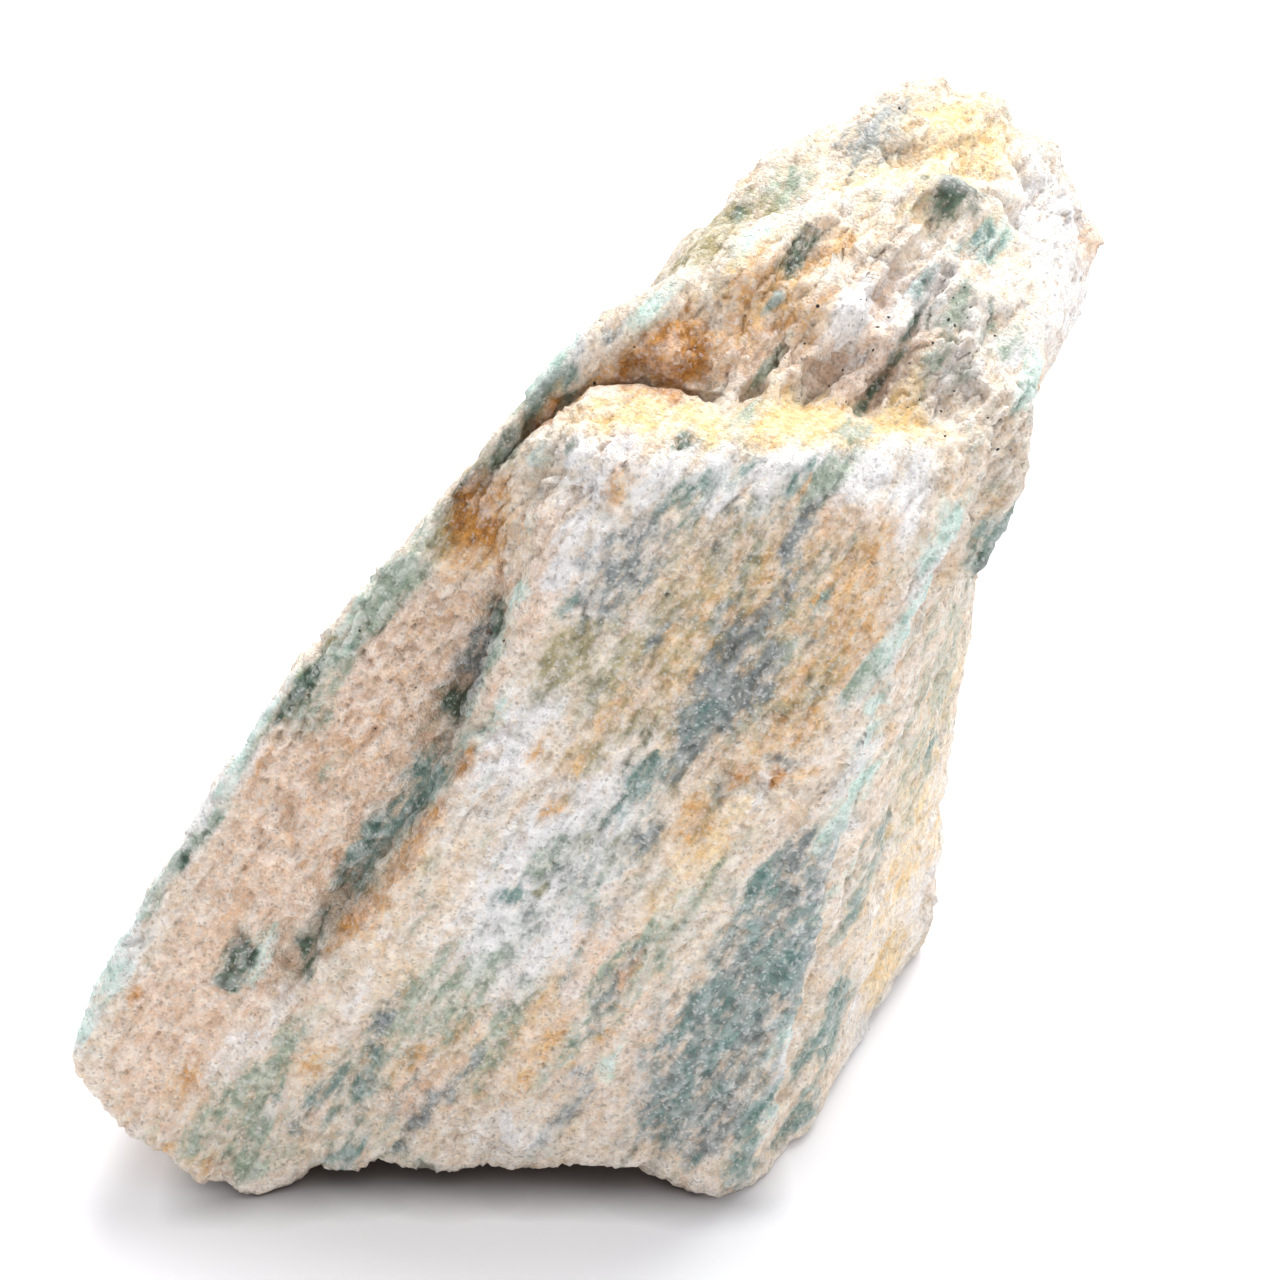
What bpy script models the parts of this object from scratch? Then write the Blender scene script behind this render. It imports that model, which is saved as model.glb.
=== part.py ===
"""Raw serpentine: one rough, layered stone that stands on a flat spot of its underside.

The stone is built the way it broke. Convex blocks, each bounded by fracture planes, are joined:
the body that stands on the ground, the slab left proud on its front, the crown of rubble behind
the slab's ledge, the shoulder and the far corner behind that, the lens at the slab's right edge,
the rim round the pocket and two feet. A closed skin is drawn over them all and roughened: lumps
on the crown, ridges where the layers are cut across, steps where they split, and a crevice along
each crack. The underside is cut level where the stone rests.

Sizes are in millimetres until a mesh is made from them. +Z is up and the front faces -Y. The
corners are given in the frame that the blocks are laid out in, with the ground at z = 0, and the
finished stone is moved so that the middle of its base is the origin.
"""

from typing import NamedTuple

import bmesh
import bpy
from mathutils import Matrix, Vector, noise
from mathutils.geometry import intersect_point_line

MM = 0.001

# The flat sides of the stone's layers face up and to the left. Two directions lie in a layer.
LAYER_FACING = Vector((-0.824, 0.356, 0.440)).normalized()
LAYER_RISE = Vector((0.471, 0.0, 0.882)).normalized()
LAYER_DEPTH = LAYER_FACING.cross(LAYER_RISE).normalized()

# The skin: the distance between its points, the faces that the finished stone may have, and the
# block of ground that its underside is cut level by.
SKIN_SPACING = 0.8
FACE_BUDGET = 9400
GROUND_SLAB = (120.0, 90.0, 20.0)

# The roughness of the broken surface: heights and sizes of what stands in or out of it. Ridges
# show where the layers are cut across and steps where they split, both in patches.
USUAL_ROUGHNESS = 0.5
SWELL_HEIGHT = 0.7
SWELL_SIZE = 12.0
SWELL_WHERE_SMOOTH = 0.4
LUMP_HEIGHT = 0.75
LUMP_SIZE = 4.4
RIDGE_HEIGHT = 1.1
RIDGE_SPACING = 2.2
RIDGE_BETWEEN_PATCHES = 0.35
STEP_HEIGHT = 1.2
STEP_SPACING = 2.0
FLAT_SHARE = 0.7
LAYER_WANDER = 1.2
LAYER_WANDER_SIZE = 18.0
PATCH_SIZE = 8.0
PATCH_CONTRAST = 1.6

# The corners of the blocks.
UNDERSIDE = [
    (8, -19, -1), (13, -14, -1), (17, -5, -1), (18, 4, -1), (12, 11, -1), (-8, 9, -1),
    (-20, -2, -1), (-23, -17, -1), (-8, -19, -1),
]
UNDERSIDE_EDGE = [
    (10.6, -23, 0.8), (15, -19.6, 0.7), (17.4, -15.4, 0.7), (20.7, -7.4, 0.6), (24.6, 2, 0.8),
    (21.4, 13, 1), (6, 16, 1.2), (-12, 12, 1.4), (-26, -2, 1.4), (-29, -14, 1.2),
    (-31, -25.2, 2.6), (-27.5, -25.2, 1.9), (-22, -25.2, 2), (-7, -24.4, 2.2), (9, -24.4, 1.6),
]
LEFT_END = [
    (-34.4, -25, 4.8), (-37, -24.8, 9.4), (-37.2, -24.2, 12.5), (-33, -8, 7), (-27, 4, 5),
]
LEFT_EDGE = [
    (-34.8, -21.6, 18.4), (-28.9, -21.2, 28), (-24.7, -20.4, 35.3), (-20.1, -19.6, 41.4),
    (-16.4, -17.8, 46), (-12.8, -16.4, 49.8), (-9.8, -14, 53.4), (-6.6, -11.6, 57),
]
FRONT = [
    (-14, -23, 30), (-20.5, -23.8, 20), (-21, -24.9, 8), (-9.8, -21.6, 39), (-7.6, -19.8, 46),
    (-7.4, -17, 52), (13.6, -22, 17), (15, -21.8, 30), (17.4, -20, 42), (24, -14, 52),
]
RIGHT_FLANK = [
    (24.9, 1.5, 3.6), (24.6, 3.5, 14), (23.8, 5, 19), (23.4, 5, 25.5), (23.6, 2, 33), (24.4, -1, 42),
    (25.4, -5, 49), (27, -5.5, 55), (24.2, 17, 10), (24.6, 20, 21), (26.4, 21, 31), (30, 20.5, 40),
]
BACK = [
    (30, 23.5, 48), (16, 24.5, 44), (4.4, 19.6, 42), (-6, 10.4, 42), (-17, 13, 16), (3, 20.5, 12),
    (12, 23, 52),
]
BODY = UNDERSIDE + UNDERSIDE_EDGE + LEFT_END + LEFT_EDGE + FRONT + RIGHT_FLANK + BACK

SLAB_LEDGE = [
    (-6.1, -16.5, 55.4), (-5.2, -15, 56.9), (-3.5, -13.3, 58.3), (-1.7, -12.2, 59.1),
    (0.4, -11.2, 59.7), (2.9, -10.8, 59.6), (6.3, -10.6, 58.7), (11.2, -10, 58.2), (18, -9.6, 58.2),
    (25, -9, 57.6),
]
SLAB_LIP = [
    (-5, -17.7, 57), (-3.5, -18.2, 58.5), (-1.2, -18.9, 59.2), (3, -20.2, 59.3), (8, -20.6, 59.3),
    (13.6, -20.2, 59.4), (18.4, -19.6, 57), (22.5, -18.6, 52.6), (25.7, -16.5, 51.8),
    (27.2, -12.6, 56.6),
]
SLAB_LEFT = [
    (-4.8, -19, 55.2), (-3.6, -21.4, 52.3), (-4.4, -23, 46.7), (-6, -24, 42.2), (-8.3, -24.8, 37.7),
    (-11.2, -25.3, 32), (-14.6, -25.4, 27), (-19, -25, 21), (-20.5, -24.9, 14), (-14, -25.2, 7),
]
SLAB_BACK = [
    (-6.6, -14.6, 54), (-7.4, -17, 50.4), (-7.8, -20, 46), (-10.4, -21.6, 39), (-14.6, -22.8, 30),
    (-20, -23, 22), (15, -20, 40), (13, -20, 20),
]
SLAB_RIGHT = [
    (24, -18.4, 49.2), (20.4, -21.4, 45.6), (18.7, -22.9, 41.7), (17.7, -24.2, 36.6),
    (17.1, -25, 30.3), (14.7, -25.5, 17.4), (12.7, -24.7, 5.3),
]
SLAB_FACE = [
    (9, -25.6, 1.6), (3, -25.8, 1.9), (-3, -25.6, 2.6), (0.3, -22.6, 52.8), (10.4, -22.2, 52.3),
    (1.6, -25.9, 31), (-6.7, -25.7, 26), (3.7, -26.3, 18),
]
SLAB = SLAB_LEDGE + SLAB_LIP + SLAB_LEFT + SLAB_BACK + SLAB_RIGHT + SLAB_FACE

CROWN = [
    (5, -9, 60), (7.6, -10, 59.4), (10.7, -11.4, 58.4), (17.7, -11.5, 58.2), (23.9, -11.2, 57.8),
    (27.4, -11.6, 56.8), (6.2, -6.4, 64.3), (12.6, -5.6, 64.4), (18.6, -4.6, 64.2),
    (24.6, -3.6, 63.3), (7, -4.2, 65.2), (10.5, -2.3, 65.9), (16.4, 0.6, 66.4), (21, 4, 66.2),
    (28.2, 5.2, 64.4), (31, 2.5, 62.1), (31.4, -2.1, 60.8), (30.6, -7.8, 57.6), (29.4, -11.6, 54.8),
    (28.6, -13, 53.6), (24, 11, 64.4), (12, 5, 64.4), (4, 0, 62), (0, 0, 50), (20, 10, 50),
    (27, -6, 46), (29.8, -4.5, 49.6), (28.4, -1, 44), (30, 4, 50), (20, -4, 42),
]
SHOULDER = [
    (6.5, 8.3, 59.6), (10.8, 12.2, 61.8), (16.7, 16.9, 63.2), (24.2, 24.9, 62.6), (28.3, 25.2, 61),
    (29.8, 25.7, 58.2), (6, 0, 60.5), (14, 3, 63), (26, 9, 63), (30, 12, 61), (-2, 3, 50),
    (8, 18, 50), (22, 26, 48), (30, 14, 46),
]
CORNER = [
    (28.5, 25.4, 58.5), (33.9, 26, 57.2), (35.6, 26.3, 54.2), (37.9, 25.6, 50), (36.6, 23, 46.6),
    (33.4, 17.6, 43), (32.6, 12, 56), (32.2, 5, 53), (27, 9, 58), (24, 20, 44), (29, 4, 48),
    (27.5, 10, 40),
]
LENS = [
    (29.7, -11.5, 53.2), (28.9, -12.2, 50.3), (27.8, -13, 48.1), (26.6, -14, 46.2), (24.4, -15.4, 45),
    (29, -6, 53), (27, -6, 47), (22, -8, 43), (25.4, -14.6, 50), (23.6, -15, 48),
]
RIM_UPPER = [
    (-5, -13.6, 57.3), (-3.5, -12.2, 58.3), (-1.6, -10.2, 60.2), (1.8, -9.3, 60.6), (3.7, -8.6, 62),
    (5, -7.8, 64), (6.4, -6, 65), (-6.9, -11.5, 57), (-4.5, -9.8, 59.3), (-2.3, -8.6, 61.2),
    (0.3, -7.2, 62.6), (4.4, -5.8, 64.6), (7.1, -4.2, 65.2), (-4.4, -11, 56), (-0.6, -8.4, 58),
    (2.6, -7, 59.6), (6, -4, 62), (-6, -8, 54), (0, -3, 56),
]
RIM_LOWER = [
    (-9.5, -16.5, 53.4), (-7.8, -15.5, 54.9), (-6.1, -14.6, 56.1), (-5, -13.6, 57.2),
    (-10.6, -14.7, 52.8), (-8.9, -13.4, 54.5), (-6.9, -11.5, 56.9), (-13.4, -18.4, 49.4),
    (-13.2, -17, 49), (-6.4, -13.4, 55), (-9.4, -15.4, 51.6), (-13, -17, 47.4), (-9, -10, 48),
]
FOOT_LEFT = [
    (-29, -24.6, 1.4), (-26, -25.6, 0.6), (-22.4, -25.2, 1), (-20, -22, -2), (-27, -20, -2),
    (-30, -20, 3), (-26, -24, 6), (-22, -20, 4), (-24, -22, -1),
]
FOOT_RIGHT = [
    (3, -25.2, 1.6), (8.6, -25.6, 0.2), (11.6, -24.4, 0.2), (13.4, -20.6, -1), (2, -21, -2),
    (10, -18, -2), (12.6, -24.2, 9), (3, -25.4, 7),
]
BLOCKS = [
    BODY, SLAB, CROWN, SHOULDER, CORNER, LENS, RIM_UPPER, RIM_LOWER, FOOT_LEFT, FOOT_RIGHT,
]


class Grain(NamedTuple):
    """A rounded lump that stands out of the surface: its middle and its radii."""

    middle: tuple
    radii: tuple


class Crevice(NamedTuple):
    """A crack: the path of its mouth, half its width, its depth and the way that it cuts in."""

    path: list
    half_width: float
    depth: float
    inward: tuple


class Hollow(NamedTuple):
    """A place where the surface is sunk: its middle, its reach, its depth and the way it is sunk."""

    middle: tuple
    reach: float
    depth: float
    inward: tuple


class Place(NamedTuple):
    """A place that is rougher or smoother than the rest: its middle, its reach and by how much."""

    middle: tuple
    reach: float
    change: float


GRAINS = {
    "knob_on_the_crown": Grain((24.8, 4.4, 65.8), (2.0, 1.6, 1.0)),
    "lump_in_the_pocket": Grain((4.9, -8.9, 59.9), (2.3, 1.6, 2.0)),
    "lump_on_the_crown": Grain((18.1, -6.2, 61.2), (4.4, 3.4, 2.2)),
    "lump_behind_the_ledge": Grain((12, -9.6, 59), (2.6, 2.2, 1.6)),
}

CREVICES = {
    "pocket": Crevice(
        [(-9.2, -16.6, 53), (-6.4, -14.8, 56), (-3.6, -12.6, 58.2), (-0.6, -10.6, 59.8),
         (2.8, -9.9, 60), (7.4, -10.2, 59.2)],
        1.5, 2.4, (-0.1, 0.7, -0.7),
    ),
    "step_on_the_front": Crevice(
        [(-7, -18.6, 51.4), (-7.6, -21, 46.2), (-10.4, -22.6, 39), (-14.6, -23.9, 30.2),
         (-19.8, -24.6, 22)],
        1.5, 1.0, (0.2, 0.95, -0.2),
    ),
    "notch_in_the_slab": Crevice(
        [(19, -23.8, 36.4), (13, -25.4, 35.8), (8.4, -25.4, 37.2)],
        1.3, 0.9, (-0.1, 0.98, 0.1),
    ),
    "seam_behind_the_slab": Crevice(
        [(30.4, -12.6, 54.6), (26.4, -15, 49.4), (23.4, -17, 45), (20, -19.6, 38), (17.4, -20.6, 28),
         (14.6, -20.6, 12)],
        1.8, 1.4, (-0.85, 0.35, -0.1),
    ),
    "groove_left": Crevice(
        [(10.7, -10.9, 59.2), (11.9, -8, 61.6), (13.2, -4.5, 64.4), (16.2, 0, 66.4)],
        1.3, 1.0, (0.3, 0.3, -0.9),
    ),
    "groove_middle": Crevice(
        [(17.7, -11.5, 58.4), (20.1, -8.5, 61), (22.1, -5.5, 63), (23.7, -2, 64.4), (25.8, 1, 64.8)],
        1.4, 1.3, (0.3, 0.3, -0.9),
    ),
    "groove_right": Crevice(
        [(23.9, -11, 58), (26.6, -8, 60.2), (29.6, -3, 61.6)],
        1.3, 1.0, (0.3, 0.3, -0.9),
    ),
    "step_to_the_shoulder": Crevice(
        [(4, 6.6, 61.6), (12, 8.6, 64), (20.6, 12.8, 64.4), (27.6, 14.6, 62.6), (31.6, 12.6, 60)],
        2.6, 1.6, (0.0, 0.2, -0.98),
    ),
}

HOLLOWS = {
    "nick_in_the_left_edge": Hollow((-9.6, -17.4, 51.6), 3.6, 1.8, (0.1, 0.85, -0.5)),
    "bowl_above_the_pocket": Hollow((8.6, -7.4, 62.4), 3.4, 1.2, (0.1, 0.7, -0.7)),
    "spall_on_the_front": Hollow((-17, -26, 9), 6.5, 0.8, (0.0, 1.0, 0.0)),
}

ROUGHER = {
    "crown": Place((20, -2, 63), 18.0, 0.7),
    "shoulder": Place((24, 20, 58), 18.0, 0.6),
    "back": Place((0, 20, 30), 30.0, 0.6),
}
SMOOTHER = {
    "ledge": Place((14.5, -15.5, 59), 7.0, 0.9),
    "upper_front": Place((4, -25, 42), 22.0, 0.7),
    "lower_front": Place((-6, -25, 18), 26.0, 0.6),
}


def clear_scene():
    """Takes away everything that the scene holds."""
    for thing in list(bpy.data.objects):
        bpy.data.objects.remove(thing)


def new_collection(name):
    """A collection of that name in the scene."""
    made = bpy.data.collections.new(name)
    bpy.context.scene.collection.children.link(made)
    return made


def make_object(name, shape, collection):
    """Turns a bmesh into an object of the collection."""
    bmesh.ops.recalc_face_normals(shape, faces=list(shape.faces))
    mesh = bpy.data.meshes.new(name)
    shape.to_mesh(mesh)
    shape.free()
    made = bpy.data.objects.new(name, mesh)
    collection.objects.link(made)
    return made


def add_block(shape, corners):
    """A lump bounded by flat breaks: the convex hull of its corners."""
    points = [shape.verts.new(Vector(corner) * MM) for corner in corners]
    hull = bmesh.ops.convex_hull(shape, input=points)
    bmesh.ops.delete(shape, geom=hull["geom_interior"], context="VERTS")


def add_grain(shape, grain):
    """An ellipsoid for a rounded lump."""
    ball = bmesh.ops.create_icosphere(shape, subdivisions=2, radius=MM)["verts"]
    bmesh.ops.scale(shape, vec=Vector(grain.radii), verts=ball)
    bmesh.ops.translate(shape, vec=Vector(grain.middle) * MM, verts=ball)


def join_blocks(name, collection):
    """All the blocks and grains in one mesh, where they still run into each other."""
    shape = bmesh.new()
    for corners in BLOCKS:
        add_block(shape, corners)
    for grain in GRAINS.values():
        add_grain(shape, grain)
    return make_object(name, shape, collection)


def apply_modifiers(stone):
    """Makes what the modifiers show the stone's own mesh."""
    bpy.context.view_layer.update()
    graph = bpy.context.evaluated_depsgraph_get()
    mesh = bpy.data.meshes.new_from_object(stone.evaluated_get(graph), depsgraph=graph)
    stone.modifiers.clear()
    stone.data = mesh


def draw_skin(stone):
    """Draws one closed skin of even quads round all the blocks."""
    skin = stone.modifiers.new("skin", "REMESH")
    skin.mode = "VOXEL"
    skin.voxel_size = SKIN_SPACING * MM
    soften = stone.modifiers.new("soften", "SMOOTH")
    soften.factor = 0.5
    soften.iterations = 1
    apply_modifiers(stone)


def falloff(point, place):
    """1 at the middle of a place, falling smoothly to 0 at its reach."""
    near = max(0.0, 1.0 - (point - Vector(place.middle)).length / place.reach)
    return near * near * (3 - 2 * near)


def distance_to_path(point, path):
    """How far a point is from the nearest stretch of a path."""
    gaps = []
    for start, end in zip(path, path[1:]):
        near, share = intersect_point_line(point, Vector(start), Vector(end))
        if share < 0.0:
            near = Vector(start)
        elif share > 1.0:
            near = Vector(end)
        gaps.append((point - near).length)
    return min(gaps)


def crease(point):
    """How far the crevices and hollows sink a point, as a vector."""
    sunk = Vector()
    for crevice in CREVICES.values():
        inside = max(0.0, 1.0 - distance_to_path(point, crevice.path) / crevice.half_width)
        sunk += Vector(crevice.inward).normalized() * crevice.depth * inside
    for hollow in HOLLOWS.values():
        sunk += Vector(hollow.inward).normalized() * hollow.depth * falloff(point, hollow)
    return sunk


def level_of(across, spacing):
    """Which layer a place across the layers is in, and how far its slope to the next has risen."""
    index, part = divmod(across / spacing, 1.0)
    rise = max(0.0, part - FLAT_SHARE) / (1.0 - FLAT_SHARE)
    return index, rise


def ridge_at(across):
    """A height from -0.5 to 0.5 that is one value in each layer."""
    index, rise = level_of(across, RIDGE_SPACING)
    here = noise.cell(Vector((index, 0.5, 0.5)))
    after = noise.cell(Vector((index + 1.0, 0.5, 0.5)))
    return here + (after - here) * rise - 0.5


def step_at(across):
    """How far a surface that follows the layers stands off one that cuts them slantwise."""
    uneven = across + noise.noise(Vector((across / STEP_SPACING, 0.5, 0.5)))
    index, rise = level_of(uneven, STEP_SPACING)
    return index + rise - uneven / STEP_SPACING + 0.5 * FLAT_SHARE


def roughness(point):
    """How rough the break is at a point."""
    rough = USUAL_ROUGHNESS
    for place in ROUGHER.values():
        rough += place.change * falloff(point, place)
    for place in SMOOTHER.values():
        rough *= 1.0 - place.change * falloff(point, place)
    return rough


def relief(point, facing):
    """How far the rough surface stands out at a point, for the way it faces there."""
    across = point.dot(LAYER_FACING)
    along = point.dot(LAYER_RISE)
    deep = point.dot(LAYER_DEPTH)
    flat_on = abs(facing.dot(LAYER_FACING))
    rough = roughness(point)
    wander = across + LAYER_WANDER * noise.noise(Vector((along, deep, across)) / LAYER_WANDER_SIZE)
    patch = min(1.0, max(0.0, 0.5 + PATCH_CONTRAST * noise.noise(point / PATCH_SIZE)))
    ridged = RIDGE_BETWEEN_PATCHES + (1.0 - RIDGE_BETWEEN_PATCHES) * patch
    swelled = SWELL_WHERE_SMOOTH + (1.0 - SWELL_WHERE_SMOOTH) * rough

    swell = SWELL_HEIGHT * swelled * noise.noise(point / SWELL_SIZE)
    lumps = LUMP_HEIGHT * rough * noise.fractal(point / LUMP_SIZE, 1.0, 2.0, 2)
    ridges = RIDGE_HEIGHT * rough * ridged * ridge_at(wander) * (1.0 - flat_on)
    steps = STEP_HEIGHT * patch * step_at(wander) * flat_on * flat_on
    return swell + lumps + ridges + steps


def roughen(stone):
    """Moves every point of the skin in or out along the way it faces."""
    mesh = stone.data
    moved = []
    for vert in mesh.vertices:
        point = vert.co / MM
        moved.append(vert.co + (vert.normal * relief(point, vert.normal) + crease(point)) * MM)
    for vert, spot in zip(mesh.vertices, moved):
        vert.co = spot


def thin_out(stone):
    """Keeps the faces that carry the shape, down to the budget."""
    stone.data.calc_loop_triangles()
    thin = stone.modifiers.new("thin", "DECIMATE")
    thin.ratio = min(1.0, FACE_BUDGET / len(stone.data.loop_triangles))
    apply_modifiers(stone)


def cut_level(stone, collection):
    """Cuts the underside off level, which leaves the flat spot that the stone rests on."""
    shape = bmesh.new()
    bmesh.ops.create_cube(shape, size=1.0)
    bmesh.ops.scale(shape, vec=Vector(GROUND_SLAB) * MM, verts=shape.verts)
    bmesh.ops.translate(shape, vec=(0.0, 0.0, -GROUND_SLAB[2] * MM / 2), verts=shape.verts)
    ground = make_object("ground", shape, collection)
    ground.hide_render = True
    ground.display_type = "WIRE"
    level = stone.modifiers.new("level", "BOOLEAN")
    level.operation = "DIFFERENCE"
    level.object = ground
    apply_modifiers(stone)


def centre_on_base(stone):
    """Moves the middle of the base to the origin, and says by how much it was away."""
    points = [vert.co for vert in stone.data.vertices]
    low = Vector([min(point[axis] for point in points) for axis in range(3)])
    high = Vector([max(point[axis] for point in points) for axis in range(3)])
    middle = Vector(((low.x + high.x) / 2, (low.y + high.y) / 2, low.z))
    stone.data.transform(Matrix.Translation(-middle))
    return middle


def serpentine_look():
    """Pale green and tan stone with a dull surface."""
    look = bpy.data.materials.new("serpentine")
    look.use_nodes = True
    shader = look.node_tree.nodes["Principled BSDF"]
    shader.inputs["Base Color"].default_value = (0.56, 0.53, 0.43, 1.0)
    shader.inputs["Roughness"].default_value = 0.75
    shader.inputs["Metallic"].default_value = 0.0
    return look


def main():
    """Builds the stone and leaves it as the scene's one visible object."""
    clear_scene()
    part = new_collection("raw_serpentine")
    tools = new_collection("cutters")
    stone = join_blocks("serpentine_stone", part)
    draw_skin(stone)
    roughen(stone)
    thin_out(stone)
    cut_level(stone, tools)
    middle = centre_on_base(stone)
    stone.data.materials.clear()
    stone.data.materials.append(serpentine_look())
    return middle


RECENTRE = main()
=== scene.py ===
"""Raw serpentine: the looks of one rough, layered stone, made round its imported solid.

The skin of the solid is drawn again as a fine mesh, the broken surface is carved into it, and every
point of the skin is told how much of each mineral lies there: pale grains, sage and teal bands, dark
green eyes, ochre stains. The stone's finish reads those amounts and breaks them up into grains.

Sizes and places are in millimetres until a mesh is made from them. +Z is up, the front faces -Y.
"""

import logging
import math
from collections.abc import Iterator
from dataclasses import dataclass
from enum import Enum

import bpy
import numpy as np
from mathutils import Matrix, Vector


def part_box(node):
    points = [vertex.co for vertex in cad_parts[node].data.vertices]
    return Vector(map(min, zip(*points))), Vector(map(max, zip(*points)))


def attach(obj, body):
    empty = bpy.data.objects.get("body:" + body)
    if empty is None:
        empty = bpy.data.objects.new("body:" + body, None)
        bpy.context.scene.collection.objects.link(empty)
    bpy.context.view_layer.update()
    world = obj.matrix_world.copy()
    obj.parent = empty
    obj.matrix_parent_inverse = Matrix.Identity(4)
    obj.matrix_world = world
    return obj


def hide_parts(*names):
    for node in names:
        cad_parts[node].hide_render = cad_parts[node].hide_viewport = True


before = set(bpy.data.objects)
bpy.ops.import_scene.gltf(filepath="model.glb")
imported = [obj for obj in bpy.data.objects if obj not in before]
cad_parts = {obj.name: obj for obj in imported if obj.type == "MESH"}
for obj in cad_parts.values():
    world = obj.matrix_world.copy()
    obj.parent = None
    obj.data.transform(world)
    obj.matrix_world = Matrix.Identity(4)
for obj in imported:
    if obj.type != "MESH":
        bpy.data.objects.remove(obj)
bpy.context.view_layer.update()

NODE = "serpentine_stone"
BODY = "root"
MM = 0.001

LOG = logging.getLogger("raw_serpentine")

Place = tuple[float, float, float]
Socket = bpy.types.NodeSocket
Sockets = bpy.types.bpy_prop_collection


class Mineral(Enum):
    """What a spot of the stone is made of: the attribute that holds its amount, and the channel."""

    SAGE = ("cool", 0)
    TEAL = ("cool", 1)
    DARK_GREEN = ("cool", 2)
    ORANGE = ("warm", 0)
    YELLOW = ("warm", 1)
    TAN = ("warm", 2)
    WHITE = ("pale", 0)
    BLUE_GREY = ("pale", 1)
    MINT = ("pale", 2)
    RUST = ("trace", 0)
    OLIVE = ("trace", 1)
    SPECKS = ("trace", 2)


# The colour attributes that hold the minerals' amounts, each once.
ATTRIBUTES = tuple(dict.fromkeys(mineral.value[0] for mineral in Mineral))


class Profile(Enum):
    """The section of a carved line."""

    VEE = "a sharp crack"
    ROUND = "a rounded groove, or a rounded ridge where the depth is negative"


@dataclass(frozen=True)
class Lens:
    """A flat lens of one mineral, lying in the layers: its middle and its half sizes along them."""

    mineral: Mineral
    middle: Place
    rise: float
    deep: float
    across: float
    amount: float


@dataclass(frozen=True)
class Carving:
    """A crack, groove or ridge: the path of its mouth, half its width, its depth and its way in."""

    path: tuple[Place, ...]
    half_width: float
    depth: float
    inward: Place
    profile: Profile = Profile.VEE


@dataclass(frozen=True)
class Bowl:
    """A round place that is sunk or raised: its middle, its reach, its depth and its way in."""

    middle: Place
    reach: float
    depth: float
    inward: Place


@dataclass(frozen=True)
class Drop:
    """A line that the surface drops at: its path, how far, the width of its wall, how far the
    lower ground goes, the way down, and the lower side."""

    path: tuple[Place, ...]
    depth: float
    wall: float
    reach: float
    inward: Place
    side: Place


@dataclass(frozen=True)
class Zone:
    """A part of the surface with a roughness of its own: its middle, its reach and its strength."""

    middle: Place
    reach: float
    strength: float


@dataclass(frozen=True)
class Chips:
    """Flat chips of one size: how wide and high they are, where their pattern starts, how much of
    their height shows on sound stone, and how much more on rubble."""

    size: float
    height: float
    start: float
    sound: float
    rubble: float


def unit(direction: Place) -> np.ndarray:
    """A direction as an array of length 1."""
    found = np.array(direction, float)
    return found / np.linalg.norm(found)


def eased(share: np.ndarray) -> np.ndarray:
    """Shares from 0 to 1 with both ends made smooth."""
    return share * share * (3.0 - 2.0 * share)


def smooth_step(low: float, high: float, values: np.ndarray) -> np.ndarray:
    """0 at low and 1 at high, smooth in between, whichever of them is the larger."""
    return eased(np.clip((values - low) / (high - low), 0.0, 1.0))


def distance_to(points: np.ndarray, middle: Place) -> np.ndarray:
    """How far each point is from a place."""
    return np.linalg.norm(points - np.array(middle), axis=1)


def even_spread(values: np.ndarray) -> np.ndarray:
    """The values' ranks from 0 to 1, so that a share of them lies below the same number.

    Args:
        values: the numbers to rank.

    Returns:
        An array like values.
    """
    ranks = np.empty(len(values))
    ranks[np.argsort(values, kind="stable")] = np.linspace(0.0, 1.0, len(values))
    return ranks


def zone_strength(points: np.ndarray, zones: tuple[Zone, ...]) -> np.ndarray:
    """How far each point is in any of the zones.

    Args:
        points: places on the surface.
        zones: the zones to look in.

    Returns:
        A number for each point, from 0 to the strength of the zone it is deepest in.
    """
    found = np.zeros(len(points))
    for zone in zones:
        share = smooth_step(zone.reach, zone.reach * ZONE_CORE, distance_to(points, zone.middle))
        found = np.maximum(found, share * zone.strength)
    return found


def nearest_on_path(points: np.ndarray, path: tuple[Place, ...]) -> tuple[np.ndarray, np.ndarray]:
    """The nearest stretch of a path to each point.

    Args:
        points: the places to measure from.
        path: the corners of the path.

    Returns:
        How far the path is from each point, and the vector from the path to the point.
    """
    nearest = np.full(len(points), np.inf)
    away = np.zeros_like(points)
    for start, end in zip(path, path[1:]):
        along = np.array(end, float) - np.array(start, float)
        from_start = points - np.array(start, float)
        share = np.clip(from_start @ along / (along @ along), 0.0, 1.0)
        vector = from_start - share[:, None] * along
        gap = np.linalg.norm(vector, axis=1)
        closer = gap < nearest
        nearest = np.where(closer, gap, nearest)
        away = np.where(closer[:, None], vector, away)
    return nearest, away


class Layers:
    """The directions of the stone's layers."""

    facing = unit((-0.824, 0.356, 0.440))
    rise = unit((0.471, 0.0, 0.882))
    deep = np.cross(facing, rise)

    @classmethod
    def turned(cls, points: np.ndarray) -> np.ndarray:
        """The points' places along the layers' rise, along their depth and across them."""
        return points @ np.stack([cls.rise, cls.deep, cls.facing]).T


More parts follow.
